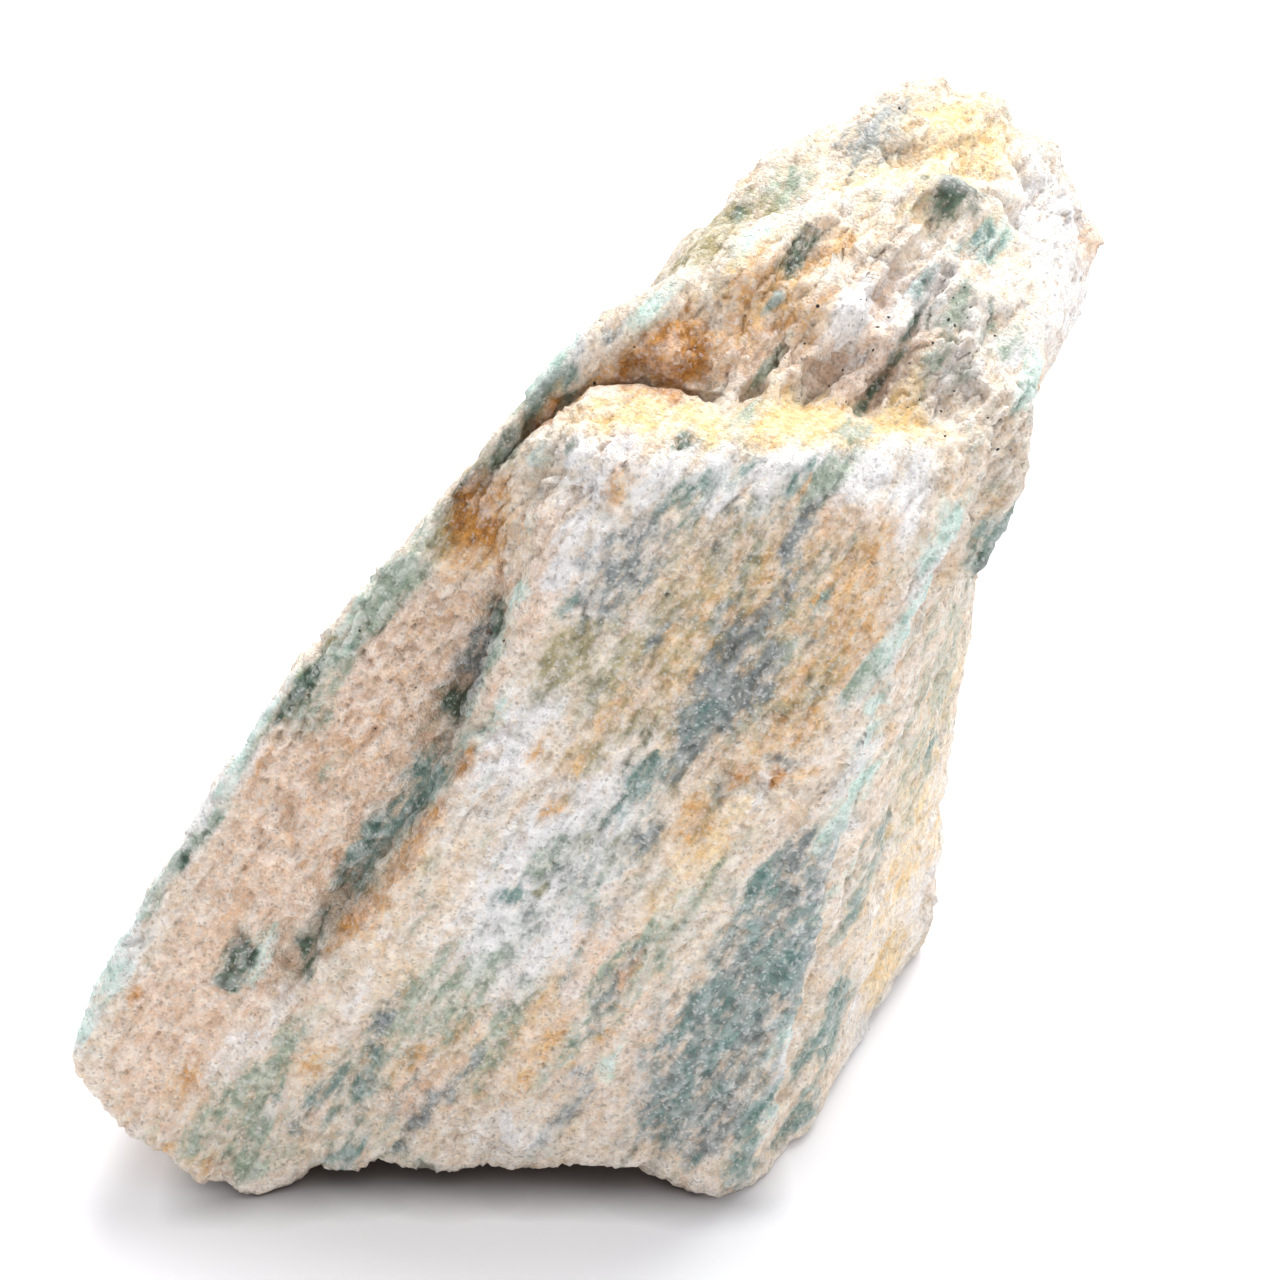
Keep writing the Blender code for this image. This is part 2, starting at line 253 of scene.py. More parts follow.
class Noise:
    """Smooth and cellular noise over arrays of points, the same in every run."""

    period = 256
    smooth_gain = 1.6
    octave_shift = 17.3
    push_shift = np.array([31.4, 57.1, 83.9])
    chip_step = 0.5

    def __init__(self, seed: int) -> None:
        """Draws the lattice.

        Args:
            seed: the number that the lattice is drawn from.
        """
        draw = np.random.default_rng(seed)
        order = draw.permutation(self.period)
        self.order = np.concatenate([order, order, order])
        slopes = draw.normal(size=(self.period, 3))
        self.slopes = slopes / np.linalg.norm(slopes, axis=1, keepdims=True)
        self.spots = draw.random((self.period, 3))

    def corner(self, cell: np.ndarray) -> np.ndarray:
        """A number under the period for each lattice cell."""
        x, y, z = (cell % self.period).T
        return self.order[self.order[self.order[x] + y] + z]

    def chance(self, key: np.ndarray) -> np.ndarray:
        """A random number from 0 to 1 for each cell's number."""
        return self.spots[(key * 7 + 3) % self.period, 0]

    def smooth(self, points: np.ndarray) -> np.ndarray:
        """Gradient noise with features 1 wide.

        Args:
            points: where to read it.

        Returns:
            A number of about -1 to 1 for each point.
        """
        cell = np.floor(points).astype(int)
        inside = points - cell
        ease = inside**3 * (inside * (inside * 6 - 15) + 10)
        total = np.zeros(len(points))
        for step in np.ndindex(2, 2, 2):
            way = np.array(step)
            slope = self.slopes[self.corner(cell + way)]
            height = np.einsum("ij,ij->i", slope, inside - way)
            share = np.prod(np.where(way, ease, 1 - ease), axis=1)
            total += height * share
        return total * self.smooth_gain

    def fractal(self, points: np.ndarray, octaves: int = 3, gain: float = 0.6) -> np.ndarray:
        """Smooth noise with finer noise on it.

        Args:
            points: where to read it.
            octaves: how many sizes are added up, each half the one before.
            gain: the height of each size as a share of the one before.

        Returns:
            A number of about -1 to 1 for each point.
        """
        total = np.zeros(len(points))
        height = 1.0
        for octave in range(octaves):
            total += height * self.smooth(points * 2.0**octave + self.octave_shift * octave)
            height *= gain
        return total

    def shift(self, points: np.ndarray) -> np.ndarray:
        """A smooth push in all three directions."""
        return np.stack([self.smooth(points + self.push_shift * k) for k in (1, 2, 3)], axis=1)

    def near_spots(self, points: np.ndarray) -> Iterator[tuple[np.ndarray, np.ndarray]]:
        """Goes through the scattered spots round each point, one to each lattice cell.

        Args:
            points: the places to look from.

        Returns:
            For each cell round the points, its number and the vector from its spot to the point.
        """
        cell = np.floor(points).astype(int)
        for step in np.ndindex(3, 3, 3):
            near = cell + np.array(step) - 1
            key = self.corner(near)
            yield key, points - near - self.spots[key]

    def cells(self, points: np.ndarray) -> tuple[np.ndarray, np.ndarray]:
        """Round cells about scattered spots.

        Args:
            points: where to read them.

        Returns:
            The distance to the nearest spot, and a random number of that spot from 0 to 1.
        """
        nearest = np.full(len(points), np.inf)
        chance = np.zeros(len(points))
        for key, away in self.near_spots(points):
            gap = np.linalg.norm(away, axis=1)
            chance = np.where(gap < nearest, self.chance(key), chance)
            nearest = np.minimum(gap, nearest)
        return nearest, chance

    def chips(self, points: np.ndarray) -> np.ndarray:
        """Small leaning faces with steps between them, one to each scattered spot, as on a broken stone.

        Args:
            points: where to read them.

        Returns:
            A height of about -0.5 to 0.5 for each point.
        """
        nearest = np.full(len(points), np.inf)
        height = np.zeros(len(points))
        for key, away in self.near_spots(points):
            gap = np.einsum("ij,ij->i", away, away)
            lean = np.einsum("ij,ij->i", self.slopes[(key * 5 + 11) % self.period], away)
            level = lean + self.chip_step * (self.chance(key) - 0.5)
            height = np.where(gap < nearest, level, height)
            nearest = np.minimum(gap, nearest)
        return height


def strip(mineral: Mineral, sizes: Place, amount: float, *places: Place) -> tuple[Lens, ...]:
    """Lenses of one mineral and one size at several places.

    Args:
        mineral: what they are made of.
        sizes: their half sizes along the layers' rise, along their depth and across them.
        amount: how much of the mineral there is.
        places: their middles.

    Returns:
        The lenses.
    """
    return tuple(Lens(mineral, place, *sizes, amount) for place in places)


def lenses_of(*regions: dict[Mineral, tuple[tuple[float, ...], ...]]) -> tuple[Lens, ...]:
    """Lenses from rows of numbers.

    Args:
        regions: for each mineral its rows. A row gives the x, y and z of a lens's middle, its half
            sizes along the layers' rise, along their depth and across them, and its amount.

    Returns:
        The lenses.
    """
    rows = ((mineral, row) for region in regions for mineral, group in region.items() for row in group)
    return tuple(Lens(mineral, row[:3], *row[3:]) for mineral, row in rows)


# Streaks that are rows of equal lenses.
STRIPS = (
    *strip(Mineral.SAGE, (6, 4, 1), 0.75, (-13, -24.9, 17), (-17, -24.7, 12), (-8, -25.4, 13),
           (-24, -24.5, 8)),
    *strip(Mineral.ORANGE, (5, 4, 1), 0.65, (-15.5, -24.8, 14.5), (-9.6, -25.2, 16), (-4.6, -25.6, 12.4)),
    *strip(Mineral.BLUE_GREY, (5, 4, 0.9), 0.6, (-20, -24.4, 8), (-12, -25, 7.4), (-2.6, -25.5, 8),
           (1, -26, 19)),
    *strip(Mineral.WHITE, (5, 3, 1), 0.8, (22.4, -19, 50.6), (19.4, -21.8, 44.4), (17.8, -23.4, 37.2),
           (16.4, -24.4, 29.6), (15, -24.8, 21.4), (13.8, -24.8, 12.6)),
    *strip(Mineral.WHITE, (2.2, 2.8, 3.4), 1, (-1.4, -19.4, 58.2), (3, -20.2, 58.4), (7, -20.4, 58.8),
           (11, -20.2, 59), (15, -19.8, 58.4), (19, -18.8, 57.4)),
    *strip(Mineral.YELLOW, (2.6, 3, 2.4), 1, (11, -15, 59.2), (14, -15.2, 59), (17, -14.4, 58.6),
           (20.6, -12.6, 58)),
    *strip(Mineral.YELLOW, (2, 2.4, 2.4), 0.8, (0.6, -14.4, 59.4), (3.6, -14.8, 59.6), (7, -15, 59.4)),
    *strip(Mineral.MINT, (3, 2.4, 0.8), 0.7, (-5.2, -20, 52.6), (-6.4, -21.4, 48.4), (-7.6, -21.9, 44.6),
           (-8.8, -22.6, 41.4)),
    *strip(Mineral.SAGE, (2.2, 2.4, 0.9), 0.9, (-9.6, -23.4, 38.6), (-11.2, -23.6, 35.6),
           (-12.8, -23.9, 32.8), (-14.8, -23.9, 29.6)),
    *strip(Mineral.TEAL, (2.8, 4, 1.5), 0.9, (-11.5, -22.8, 35.6), (-13, -23.4, 32.7), (-15, -22.9, 30.2),
           (-17, -23.2, 27)),
    *strip(Mineral.TEAL, (2.2, 4, 1.1), 1, (-16.6, -22.9, 28.4), (-17.8, -23, 26.2)),
    *strip(Mineral.DARK_GREEN, (1.8, 4, 0.9), 1, (-18.6, -23.1, 24.1), (-19.6, -23.3, 21.9),
           (-20.9, -23.6, 19.9)),
    *strip(Mineral.RUST, (2.4, 3.4, 1.1), 0.62, (-12.6, -24.6, 32), (-14.2, -24.9, 29.2),
           (-16.3, -24.9, 25.7), (-17.8, -24.6, 23.2)),
    *strip(Mineral.DARK_GREEN, (1.4, 2, 1.1), 1, (-24.9, -23.3, 20), (-25.8, -23.4, 19)),
    *strip(Mineral.ORANGE, (2.4, 3.4, 1.4), 0.8, (-12.6, -24.6, 32), (-14.2, -24.9, 29.2),
           (-16.3, -24.9, 25.7), (-17.8, -24.6, 23.2)),
    *strip(Mineral.ORANGE, (5, 3, 2.2), 0.85, (17, -21.6, 50.4), (15.6, -22.9, 45), (13.6, -23.4, 41)),
    *strip(Mineral.ORANGE, (2.6, 3, 2.4), 0.5, (11, -15, 59.2), (17, -14.4, 58.6)),
    *strip(Mineral.BLUE_GREY, (5, 4, 2.2), 0.85, (12.4, -25, 27), (11, -25.3, 23.4)),
    *strip(Mineral.MINT, (1.6, 2, 0.9), 0.7, (-23.6, -23.3, 20.6), (-24.2, -23.3, 18.8)),
    *strip(Mineral.SAGE, (4, 3, 1.4), 0.65, (-26, -24.5, 9), (-22, -24.5, 13.6), (-28.4, -24.6, 4.6)),
    *strip(Mineral.WHITE, (4, 3, 1.2), 0.6, (-23.8, -24.4, 14.4), (-17.6, -25, 16.4), (-26, -24.5, 12.4)),
    *strip(Mineral.ORANGE, (3, 3, 1), 0.6, (-29.6, -24.4, 9.6), (-24.4, -24.5, 8.4), (-8.5, -25.3, 12.1)),
    *strip(Mineral.TAN, (3, 2.4, 1.4), 1, (-3.6, -20, 55), (-5, -21.6, 50.8), (-6.4, -22.6, 46.4),
           (-7.6, -23.4, 42.6), (-9.2, -24.4, 37.6)),
    *strip(Mineral.OLIVE, (3, 3, 2.4), 1, (6.8, -1.4, 64), (7, 1.4, 63.2), (7.8, 4.4, 62),
           (8.8, 8, 60.8)),
    *strip(Mineral.OLIVE, (2, 2, 1), 1, (-2.6, -10.5, 58.8), (-4.6, -11.6, 57.2), (-6.6, -13, 55.4)),
    *strip(Mineral.SAGE, (2.4, 3, 1.1), 0.8, (24.4, -4.6, 61.2), (22.6, -8.3, 59.9), (28, -5, 59.2)),
)

# The rim at the crown's left end and the ochre pocket under it.
RIM_AND_POCKET = {
    Mineral.WHITE: ((-1.2, -9.3, 61.4, 4, 2.5, 0.9, 0.9),),
    Mineral.MINT: ((3.8, -8.1, 63.6, 2.5, 2, 0.9, 0.8),),
    Mineral.BLUE_GREY: ((1.5, -8.4, 62.6, 1.4, 1.2, 0.6, 0.7),),
    Mineral.TEAL: ((4.2, -8.4, 62.4, 1.8, 1.5, 0.6, 0.9), (-1.7, -9.9, 59.6, 1.8, 1.5, 0.7, 0.8),
        (-3.8, -10.9, 58.6, 1.8, 1.5, 0.7, 0.8)),
    Mineral.SAGE: ((-5.8, -12.3, 55.8, 2.2, 1.6, 0.8, 0.8), (-11.4, -15.4, 51, 3.4, 2, 0.9, 0.9)),
    Mineral.OLIVE: ((-7.4, -13.4, 55, 2.4, 1.6, 0.8, 0.9),),
    Mineral.DARK_GREEN: ((-9.4, -14.5, 52.6, 2, 1.4, 0.5, 0.8), (2.4, -8.8, 60.2, 1.4, 1.2, 0.5, 0.7)),
    Mineral.ORANGE: ((0.4, -9.6, 59.2, 1.8, 1.6, 1, 0.9), (-1.6, -10.4, 58.6, 1.6, 1.4, 1, 0.8),
        (4.9, -9.6, 60.4, 3.4, 3.4, 2.8, 1), (-8.4, -15.3, 51.2, 3.4, 3.4, 2.8, 1),
        (-6.7, -14.4, 54, 1.2, 1.2, 1, 0.8)),
    Mineral.RUST: ((-3.2, -11.4, 57.4, 1.6, 1.4, 0.8, 0.9), (2.2, -8.8, 58.8, 1.4, 1.6, 0.8, 1),
        (4.9, -9.6, 60.4, 2.6, 2.6, 2.6, 1), (-8.2, -15.2, 51.4, 2.8, 2.8, 2.4, 0.85)),
}

# The ledge on top of the slab and its white lip.
SLAB_TOP = {
    Mineral.TAN: ((-3.8, -12.2, 56.9, 3, 2.4, 1.6, 0.8), (1.8, -17.6, 59.5, 2.4, 2.6, 2, 1)),
    Mineral.WHITE: ((-0.6, -18.6, 58.6, 3, 3, 1.6, 0.7), (11.4, -19.4, 59.2, 1.8, 1.8, 2.4, 0.9),
        (6, -19.8, 59.2, 1.6, 1.6, 2, 0.7), (21, -17.6, 56, 3, 2.6, 2, 0.8)),
    Mineral.SAGE: ((-2.1, -17.6, 59, 0.8, 1, 0.5, 0.9), (9.8, -14.2, 59.2, 1.4, 2.2, 0.7, 0.8),
        (17.6, -14, 58.6, 1.4, 3, 0.6, 0.8), (15.8, -19.7, 57.4, 2.4, 2.4, 0.8, 1)),
    Mineral.MINT: ((-4.6, -17, 56.6, 2.4, 1.6, 0.9, 0.6),),
    Mineral.DARK_GREEN: ((5.6, -17.2, 59.2, 1.1, 1.6, 0.9, 1),),
    Mineral.ORANGE: ((2.2, -20, 58.2, 2, 2, 1, 0.9), (21.4, -10.6, 57.8, 1, 1.4, 0.8, 0.8),
        (13.4, -20.5, 57, 1, 1.2, 0.5, 1), (15.9, -20.6, 55, 1.2, 1.2, 0.5, 0.7)),
    Mineral.YELLOW: ((13.6, -14.6, 59, 3, 3.6, 3.4, 1), (7, -14, 59.4, 2.4, 2.6, 3, 0.7),
        (1.8, -13.6, 59.7, 2, 2, 2.4, 0.6)),
    Mineral.TEAL: ((9, -20, 58.9, 1.4, 2, 0.6, 0.8), (6.6, -20.9, 57.5, 1.6, 2, 0.8, 0.6),
        (4.4, -21.3, 55.8, 1.6, 2, 0.9, 0.6), (13.4, -20, 58.2, 1.8, 2.2, 0.5, 0.8)),
}

# The upper half of the slab's front.
UPPER_FRONT = {
    Mineral.OLIVE: ((-1.6, -23.4, 45.8, 4.2, 2.5, 1.5, 0.9), (1.3, -23.5, 45, 5, 2.5, 0.9, 0.8),
        (8.9, -23, 46.8, 2.4, 2.5, 1.4, 0.9), (14.6, -23, 43, 4, 2.5, 0.8, 0.6),
        (3.6, -23.6, 42.6, 5, 2.5, 1, 0.8)),
    Mineral.BLUE_GREY: ((9.3, -22.9, 47, 2.6, 2.5, 1.3, 0.9), (7.8, -23.7, 42.2, 6.6, 2.5, 2.4, 1),
        (10.6, -23.2, 44, 4, 2.5, 1.4, 0.9), (11.6, -22.3, 49.2, 3.6, 2.5, 0.8, 0.8),
        (1.6, -22.2, 52, 4.6, 2.5, 2.8, 0.75), (13.5, -21, 54.3, 3.4, 2.5, 0.9, 0.65),
        (4.2, -23.1, 46.9, 3, 2.5, 0.7, 0.5), (13.2, -24, 37, 1.4, 2, 0.9, 0.8)),
    Mineral.TEAL: ((-2.1, -22.7, 49.9, 1.6, 2.4, 0.8, 0.6), (6.7, -21.3, 57.1, 3.8, 2.5, 1, 0.55),
        (14.9, -22, 49, 1.8, 2, 0.45, 0.9), (7, -23.8, 41, 3, 2.5, 1, 0.5)),
    Mineral.SAGE: ((15.3, -19.8, 57.6, 2.8, 2.5, 0.9, 1), (12.8, -22.8, 46.4, 3, 2.4, 0.8, 0.8),
        (18.6, -22, 43.6, 3, 2, 0.8, 0.8)),
    Mineral.TAN: ((16.3, -20.6, 54.8, 4.4, 2.5, 2.2, 0.9), (-3, -21.6, 52.4, 4, 3, 1.6, 0.8)),
    Mineral.ORANGE: ((6.8, -22.5, 50.5, 3.6, 2.5, 1.6, 0.6), (15.9, -22.7, 45.3, 6, 2.5, 1.7, 0.62),
        (-0.4, -24.2, 40.2, 3.2, 2.5, 1.1, 0.75), (-4.5, -24.3, 39.2, 1.6, 2, 0.8, 0.6),
        (11.7, -24.1, 39.6, 4.4, 2.5, 1.6, 0.62), (3.6, -23.6, 43.4, 3, 2.5, 0.8, 0.5),
        (16.3, -20.6, 54.8, 3.4, 2.5, 1.2, 0.4), (13.2, -20.6, 57, 0.9, 1.2, 0.5, 1),
        (2.2, -20.8, 57.1, 1.6, 1.4, 0.6, 0.8)),
    Mineral.WHITE: ((-5.1, -23.9, 40.8, 5, 2.5, 1.5, 0.9), (-1.4, -21.9, 53.8, 4, 2.5, 1.6, 0.8),
        (9.5, -21.9, 53.6, 3, 2.5, 1.2, 0.6), (4, -22.6, 48.6, 1.6, 2.5, 0.8, 0.6),
        (5.6, -24.2, 39.2, 1.6, 2.5, 0.9, 0.5), (20.6, -18.6, 55.2, 4, 3, 1.8, 0.8)),
    Mineral.MINT: ((-7.4, -23.8, 40.6, 5, 2.4, 0.5, 0.7), (23.5, -17.2, 52.2, 3.6, 3, 1.1, 0.9),
        (20.8, -20.6, 46.8, 5, 3, 0.8, 0.85), (19, -22.6, 40.2, 5, 3, 0.8, 0.85)),
}

# The pitted face left of the slab's step.
LEFT_FACE = {
    Mineral.TAN: ((-13, -20, 41, 13, 6, 5, 1), (-21, -22, 29, 13, 6, 6, 0.9),
        (-28, -23.4, 15, 12, 6, 5, 0.9)),
    Mineral.DARK_GREEN: ((-8.1, -20.4, 45.2, 1.7, 3.6, 1.1, 1), (-10.6, -21.3, 39.6, 2.2, 4, 1.2, 1),
        (-21, -19.7, 39.6, 3, 2.4, 0.7, 0.9), (-29, -22.1, 26.8, 1, 1.4, 0.4, 0.9)),
    Mineral.BLUE_GREY: ((-9.4, -20.6, 42.6, 2.4, 4, 1.4, 0.95), (-10, -21.2, 41.4, 1.6, 2, 0.6, 0.8),
        (-15.2, -23.2, 30, 2.4, 2, 0.9, 0.8)),
    Mineral.SAGE: ((-8, -22, 43.2, 5, 2, 0.6, 0.8), (-14.2, -17.8, 46.8, 5, 2.4, 0.8, 0.9),
        (-18.8, -21, 34.6, 1.2, 1.6, 0.7, 0.6)),
    Mineral.TEAL: ((-11.5, -22.8, 35.6, 3.2, 2, 0.9, 0.9), (-13.2, -23.4, 32.4, 2.8, 2, 0.9, 0.9)),
    Mineral.RUST: ((-9.5, -24, 37, 2.4, 2, 0.4, 0.8), (-11.7, -24.8, 32.9, 1.2, 2, 0.4, 1),
        (-14.3, -24.8, 29.3, 2.4, 2, 0.35, 0.7), (-22.7, -20.8, 34.8, 2, 2, 0.5, 0.5),
        (-18.4, -22.9, 28.5, 0.7, 1.4, 0.4, 0.8), (-19.6, -20.8, 36.6, 1.4, 1.4, 0.3, 0.6),
        (-33.1, -23.8, 16.2, 1.2, 1.6, 0.7, 0.6)),
    Mineral.ORANGE: ((-13.7, -24.6, 30.2, 3, 2, 0.5, 0.9),),
    Mineral.MINT: ((-16.4, -18.8, 44.6, 4, 2.4, 0.6, 0.8), (-24.4, -20.4, 35.6, 4, 2.4, 0.8, 0.9),
        (-31.4, -21.6, 24.6, 6, 3, 0.7, 0.7), (-35.8, -23, 15.6, 5, 3, 0.9, 0.8)),
    Mineral.OLIVE: ((-18.3, -17.6, 43.6, 1, 1.4, 0.5, 0.8),),
}

# The lower half of the front, down to the feet.
LOWER_FRONT = {
    Mineral.WHITE: ((-3, -25.4, 28, 9, 4, 4, 0.8), (-6.4, -25.4, 20, 5, 3, 2.6, 0.9),
        (10.2, -24.9, 34.6, 1.4, 1.8, 1, 0.9), (-24, -24.8, 6.4, 3, 3, 1.4, 0.6),
        (-6, -25.6, 5, 3, 3, 3.6, 0.6)),
    Mineral.TEAL: ((2.7, -24.9, 36.2, 2.6, 2.4, 0.9, 1), (1, -25.4, 33.2, 1.8, 2.4, 0.8, 0.8),
        (-6, -25.5, 26.6, 1.5, 2.4, 0.7, 0.9), (11.3, -25.2, 27.6, 3, 2.4, 1.2, 1),
        (10.3, -25.5, 23.7, 2.2, 2.4, 1.1, 1), (8.6, -25.5, 14.5, 2.4, 2.4, 1.2, 0.8),
        (11.3, -25, 7, 3.6, 2.4, 1.1, 0.9), (9.4, -24.8, 2.4, 2, 2.4, 2.4, 0.9),
        (14.2, -20.8, 3, 3.6, 3, 1.1, 0.9), (-19.2, -24.2, 9, 2.8, 2.4, 0.8, 0.8),
        (-18.4, -24.9, 3.2, 2.4, 2.4, 1.3, 0.8)),
    Mineral.BLUE_GREY: ((3.2, -25.5, 31.4, 2, 2.4, 0.9, 0.6), (11.4, -24.2, 37.2, 0.9, 1.4, 0.7, 0.9),
        (13.2, -24.8, 29.6, 3.4, 2.4, 1.2, 0.9), (10, -25.3, 20.6, 4.4, 3, 2.2, 1),
        (8, -25.5, 14, 5.4, 3, 2.4, 0.9), (8, -25.3, 6.6, 4.4, 3, 2.6, 0.8),
        (-15.6, -24.9, 14.6, 3, 2.4, 0.9, 0.8)),
    Mineral.SAGE: ((-3.7, -25.6, 29.8, 2.4, 2.4, 0.8, 0.9), (-0.4, -25.8, 27.5, 2.2, 2.4, 0.8, 0.8),
        (0.6, -26, 20.6, 3.4, 2, 0.6, 0.9), (3.8, -26.1, 24.8, 2.6, 2, 0.7, 0.8),
        (-10.4, -25.2, 18, 4, 2.4, 1, 0.7), (-25, -24.7, 3, 2.4, 2.4, 1.4, 0.9)),
    Mineral.OLIVE: ((-4, -25.5, 27.1, 1, 2.4, 0.4, 1),),
    Mineral.TAN: ((-1.6, -25.2, 35.6, 2.4, 2.4, 1.2, 0.6), (-0.8, -25.8, 23.2, 5, 3, 1.4, 0.9),
        (3.4, -25.8, 14, 5, 3, 1.8, 0.8), (-12.4, -25, 9, 4, 3, 3, 0.9)),
    Mineral.ORANGE: ((-2.6, -25.2, 34.6, 1.5, 2.4, 0.7, 0.8), (7.1, -24.9, 34.2, 2.4, 2.4, 0.9, 1),
        (13.6, -24, 36.2, 1.2, 2, 1.6, 0.6), (-5.4, -25.4, 16.4, 5, 3, 0.7, 0.6),
        (-0.1, -26, 14.9, 1.4, 2, 0.6, 1), (-1.3, -25.8, 12.6, 1.2, 2, 0.6, 0.8),
        (-10.9, -25.2, 13.7, 2.2, 2.4, 0.9, 0.9), (-14, -24.9, 11.7, 2.4, 2.4, 0.9, 0.9),
        (-20.1, -24.5, 12, 3, 2.4, 1.1, 0.6), (-28.9, -25.1, 2.8, 1.8, 2.4, 1.2, 0.8),
        (-31, -24.8, 4, 1.6, 2.4, 1, 0.7)),
    Mineral.RUST: ((9.3, -24.2, 36.6, 0.9, 1.6, 0.6, 0.9), (11.9, -24.4, 35.4, 1, 1.6, 0.6, 1),
        (2.9, -26.1, 21.6, 3, 2, 0.35, 0.6)),
    Mineral.YELLOW: ((6.4, -25.2, 30.6, 4, 2.4, 1.1, 0.6),),
    Mineral.MINT: ((0.6, -25.8, 12, 2.6, 2.4, 0.8, 0.8), (17.4, -23.8, 33.4, 6, 3, 0.8, 0.9),
        (16, -24.4, 25.4, 6, 3, 0.8, 0.9), (14.6, -24.6, 16.6, 6, 3, 0.8, 0.9),
        (13.2, -24.6, 8.4, 5, 3, 0.9, 0.9)),
}

# The crumbly crown, the shoulder and the far corner.
CROWN = {
    Mineral.YELLOW: ((7, 1.4, 63.2, 3, 4, 2, 0.9), (9.8, -3.9, 65, 1.2, 1.6, 0.9, 0.8),
        (26.4, 17.4, 62.4, 4, 6, 4.4, 0.75), (18.6, 9, 63.6, 3, 5, 3, 0.8)),
    Mineral.ORANGE: ((7.6, -0.6, 63.8, 1.6, 2.4, 1, 0.7), (10.4, -5.4, 64.4, 1.4, 1.6, 0.9, 0.9),
        (36, 21, 52, 5, 6, 2.4, 0.35), (16.4, -1.2, 64.6, 1.8, 2.6, 1.4, 0.8),
        (13.6, -8, 60.8, 2, 1.6, 1, 0.6)),
    Mineral.MINT: ((10.7, -0.6, 65, 1.4, 3.4, 0.9, 0.9), (14.8, 3.2, 65, 1.4, 3.4, 1, 0.8),
        (24.4, 5, 66.8, 1, 1.8, 1.2, 0.8), (27.2, 2.4, 63, 2.4, 3.4, 1.1, 0.9),
        (29.8, -7.4, 57.8, 3, 3, 1, 0.9)),
    Mineral.DARK_GREEN: ((13.2, -2.6, 64.8, 2.2, 3, 0.8, 1), (21.6, -6, 61.4, 2.2, 2.4, 0.42, 1),
        (19.4, -8.9, 59, 2.2, 2.4, 0.42, 1), (24.8, 4.2, 65.6, 3, 3, 2.2, 1),
        (27.3, -2.9, 61.5, 1.1, 1.1, 0.4, 1), (26.6, -14.2, 47.2, 2.4, 2, 0.8, 0.7),
        (9.4, 7.6, 61, 1.6, 3.4, 0.9, 0.8)),
    Mineral.TEAL: ((26.6, 1.4, 63.4, 2.2, 3, 1.2, 0.8), (11.5, -6.3, 63.2, 1.6, 1.4, 0.6, 0.9),
        (22.2, -2.8, 62.6, 1.4, 1.4, 0.9, 0.6), (27.6, -13.4, 48.6, 3.6, 2.4, 1.2, 1)),
    Mineral.TAN: ((10, -8.6, 61, 3.6, 3, 3, 0.9), (17.6, -8.6, 60.2, 2.2, 2.4, 1.8, 0.6),
        (35, 20.6, 51.6, 7, 6, 4, 0.9)),
    Mineral.WHITE: ((17, -6.8, 63, 2.2, 2.4, 1.6, 1), (28.6, -6, 59, 4, 4, 1.8, 0.9),
        (22.4, -3, 62.6, 3.4, 4, 3, 0.7)),
    Mineral.SAGE: ((17.8, -11.2, 57.9, 1.8, 2, 0.5, 1), (11.8, -8.6, 60.2, 2.4, 2.4, 0.5, 0.8),
        (13.4, -11, 58.6, 1.6, 1.6, 1.2, 0.6), (23.5, -1.1, 63.9, 0.6, 0.9, 0.4, 1),
        (24.4, -9, 58.9, 1.8, 2.4, 0.35, 0.8), (26.8, -4.6, 60.6, 1.8, 2.6, 0.35, 0.8),
        (13.4, 11.4, 61.6, 2.4, 5, 1.4, 0.8)),
    Mineral.OLIVE: ((20.5, 0, 65.2, 1, 2.4, 0.35, 0.8),),
    Mineral.BLUE_GREY: ((19.6, 16.6, 62.8, 3, 5, 1.8, 0.8),),
}

# The right side.
RIGHT_FLANK = {
    Mineral.TAN: ((24.4, -2, 14, 8, 6, 4, 0.5),),
    Mineral.YELLOW: ((20.8, -7, 6, 5, 6, 3, 0.7),),
    Mineral.TEAL: ((19, -15.6, 22, 9, 4, 1.4, 0.6), (23.8, -6.1, 25.1, 7, 4, 1.2, 0.6),
        (16.6, -18, 9.4, 5, 3, 1.6, 0.9)),
    Mineral.SAGE: ((24.6, 2, 36, 12, 6, 3, 0.7),),
    Mineral.RUST: ((24.8, 0.6, 7.6, 2.4, 3, 1, 0.4),),
}

# The back and the base.
BACK_AND_BASE = {
    Mineral.TAN: ((-6, 10, 34, 16, 8, 6, 0.8), (14, 22, 30, 14, 8, 6, 0.8)),
    Mineral.SAGE: ((-14, 6, 26, 16, 10, 2.6, 0.8),),
    Mineral.TEAL: ((2, 17, 30, 12, 8, 1.8, 0.8),),
    Mineral.WHITE: ((8, 20, 20, 12, 8, 3, 0.8),),
    Mineral.BLUE_GREY: ((-24, 0, 14, 10, 8, 2, 0.8), (10, 21, 42, 9, 8, 1.6, 0.8)),
    Mineral.ORANGE: ((-2, 13, 44, 4, 4, 1.4, 0.7), (20, 24, 40, 4, 4, 1.2, 0.7)),
    Mineral.OLIVE: ((-9, 9, 38, 9, 8, 1.8, 0.8),),
}

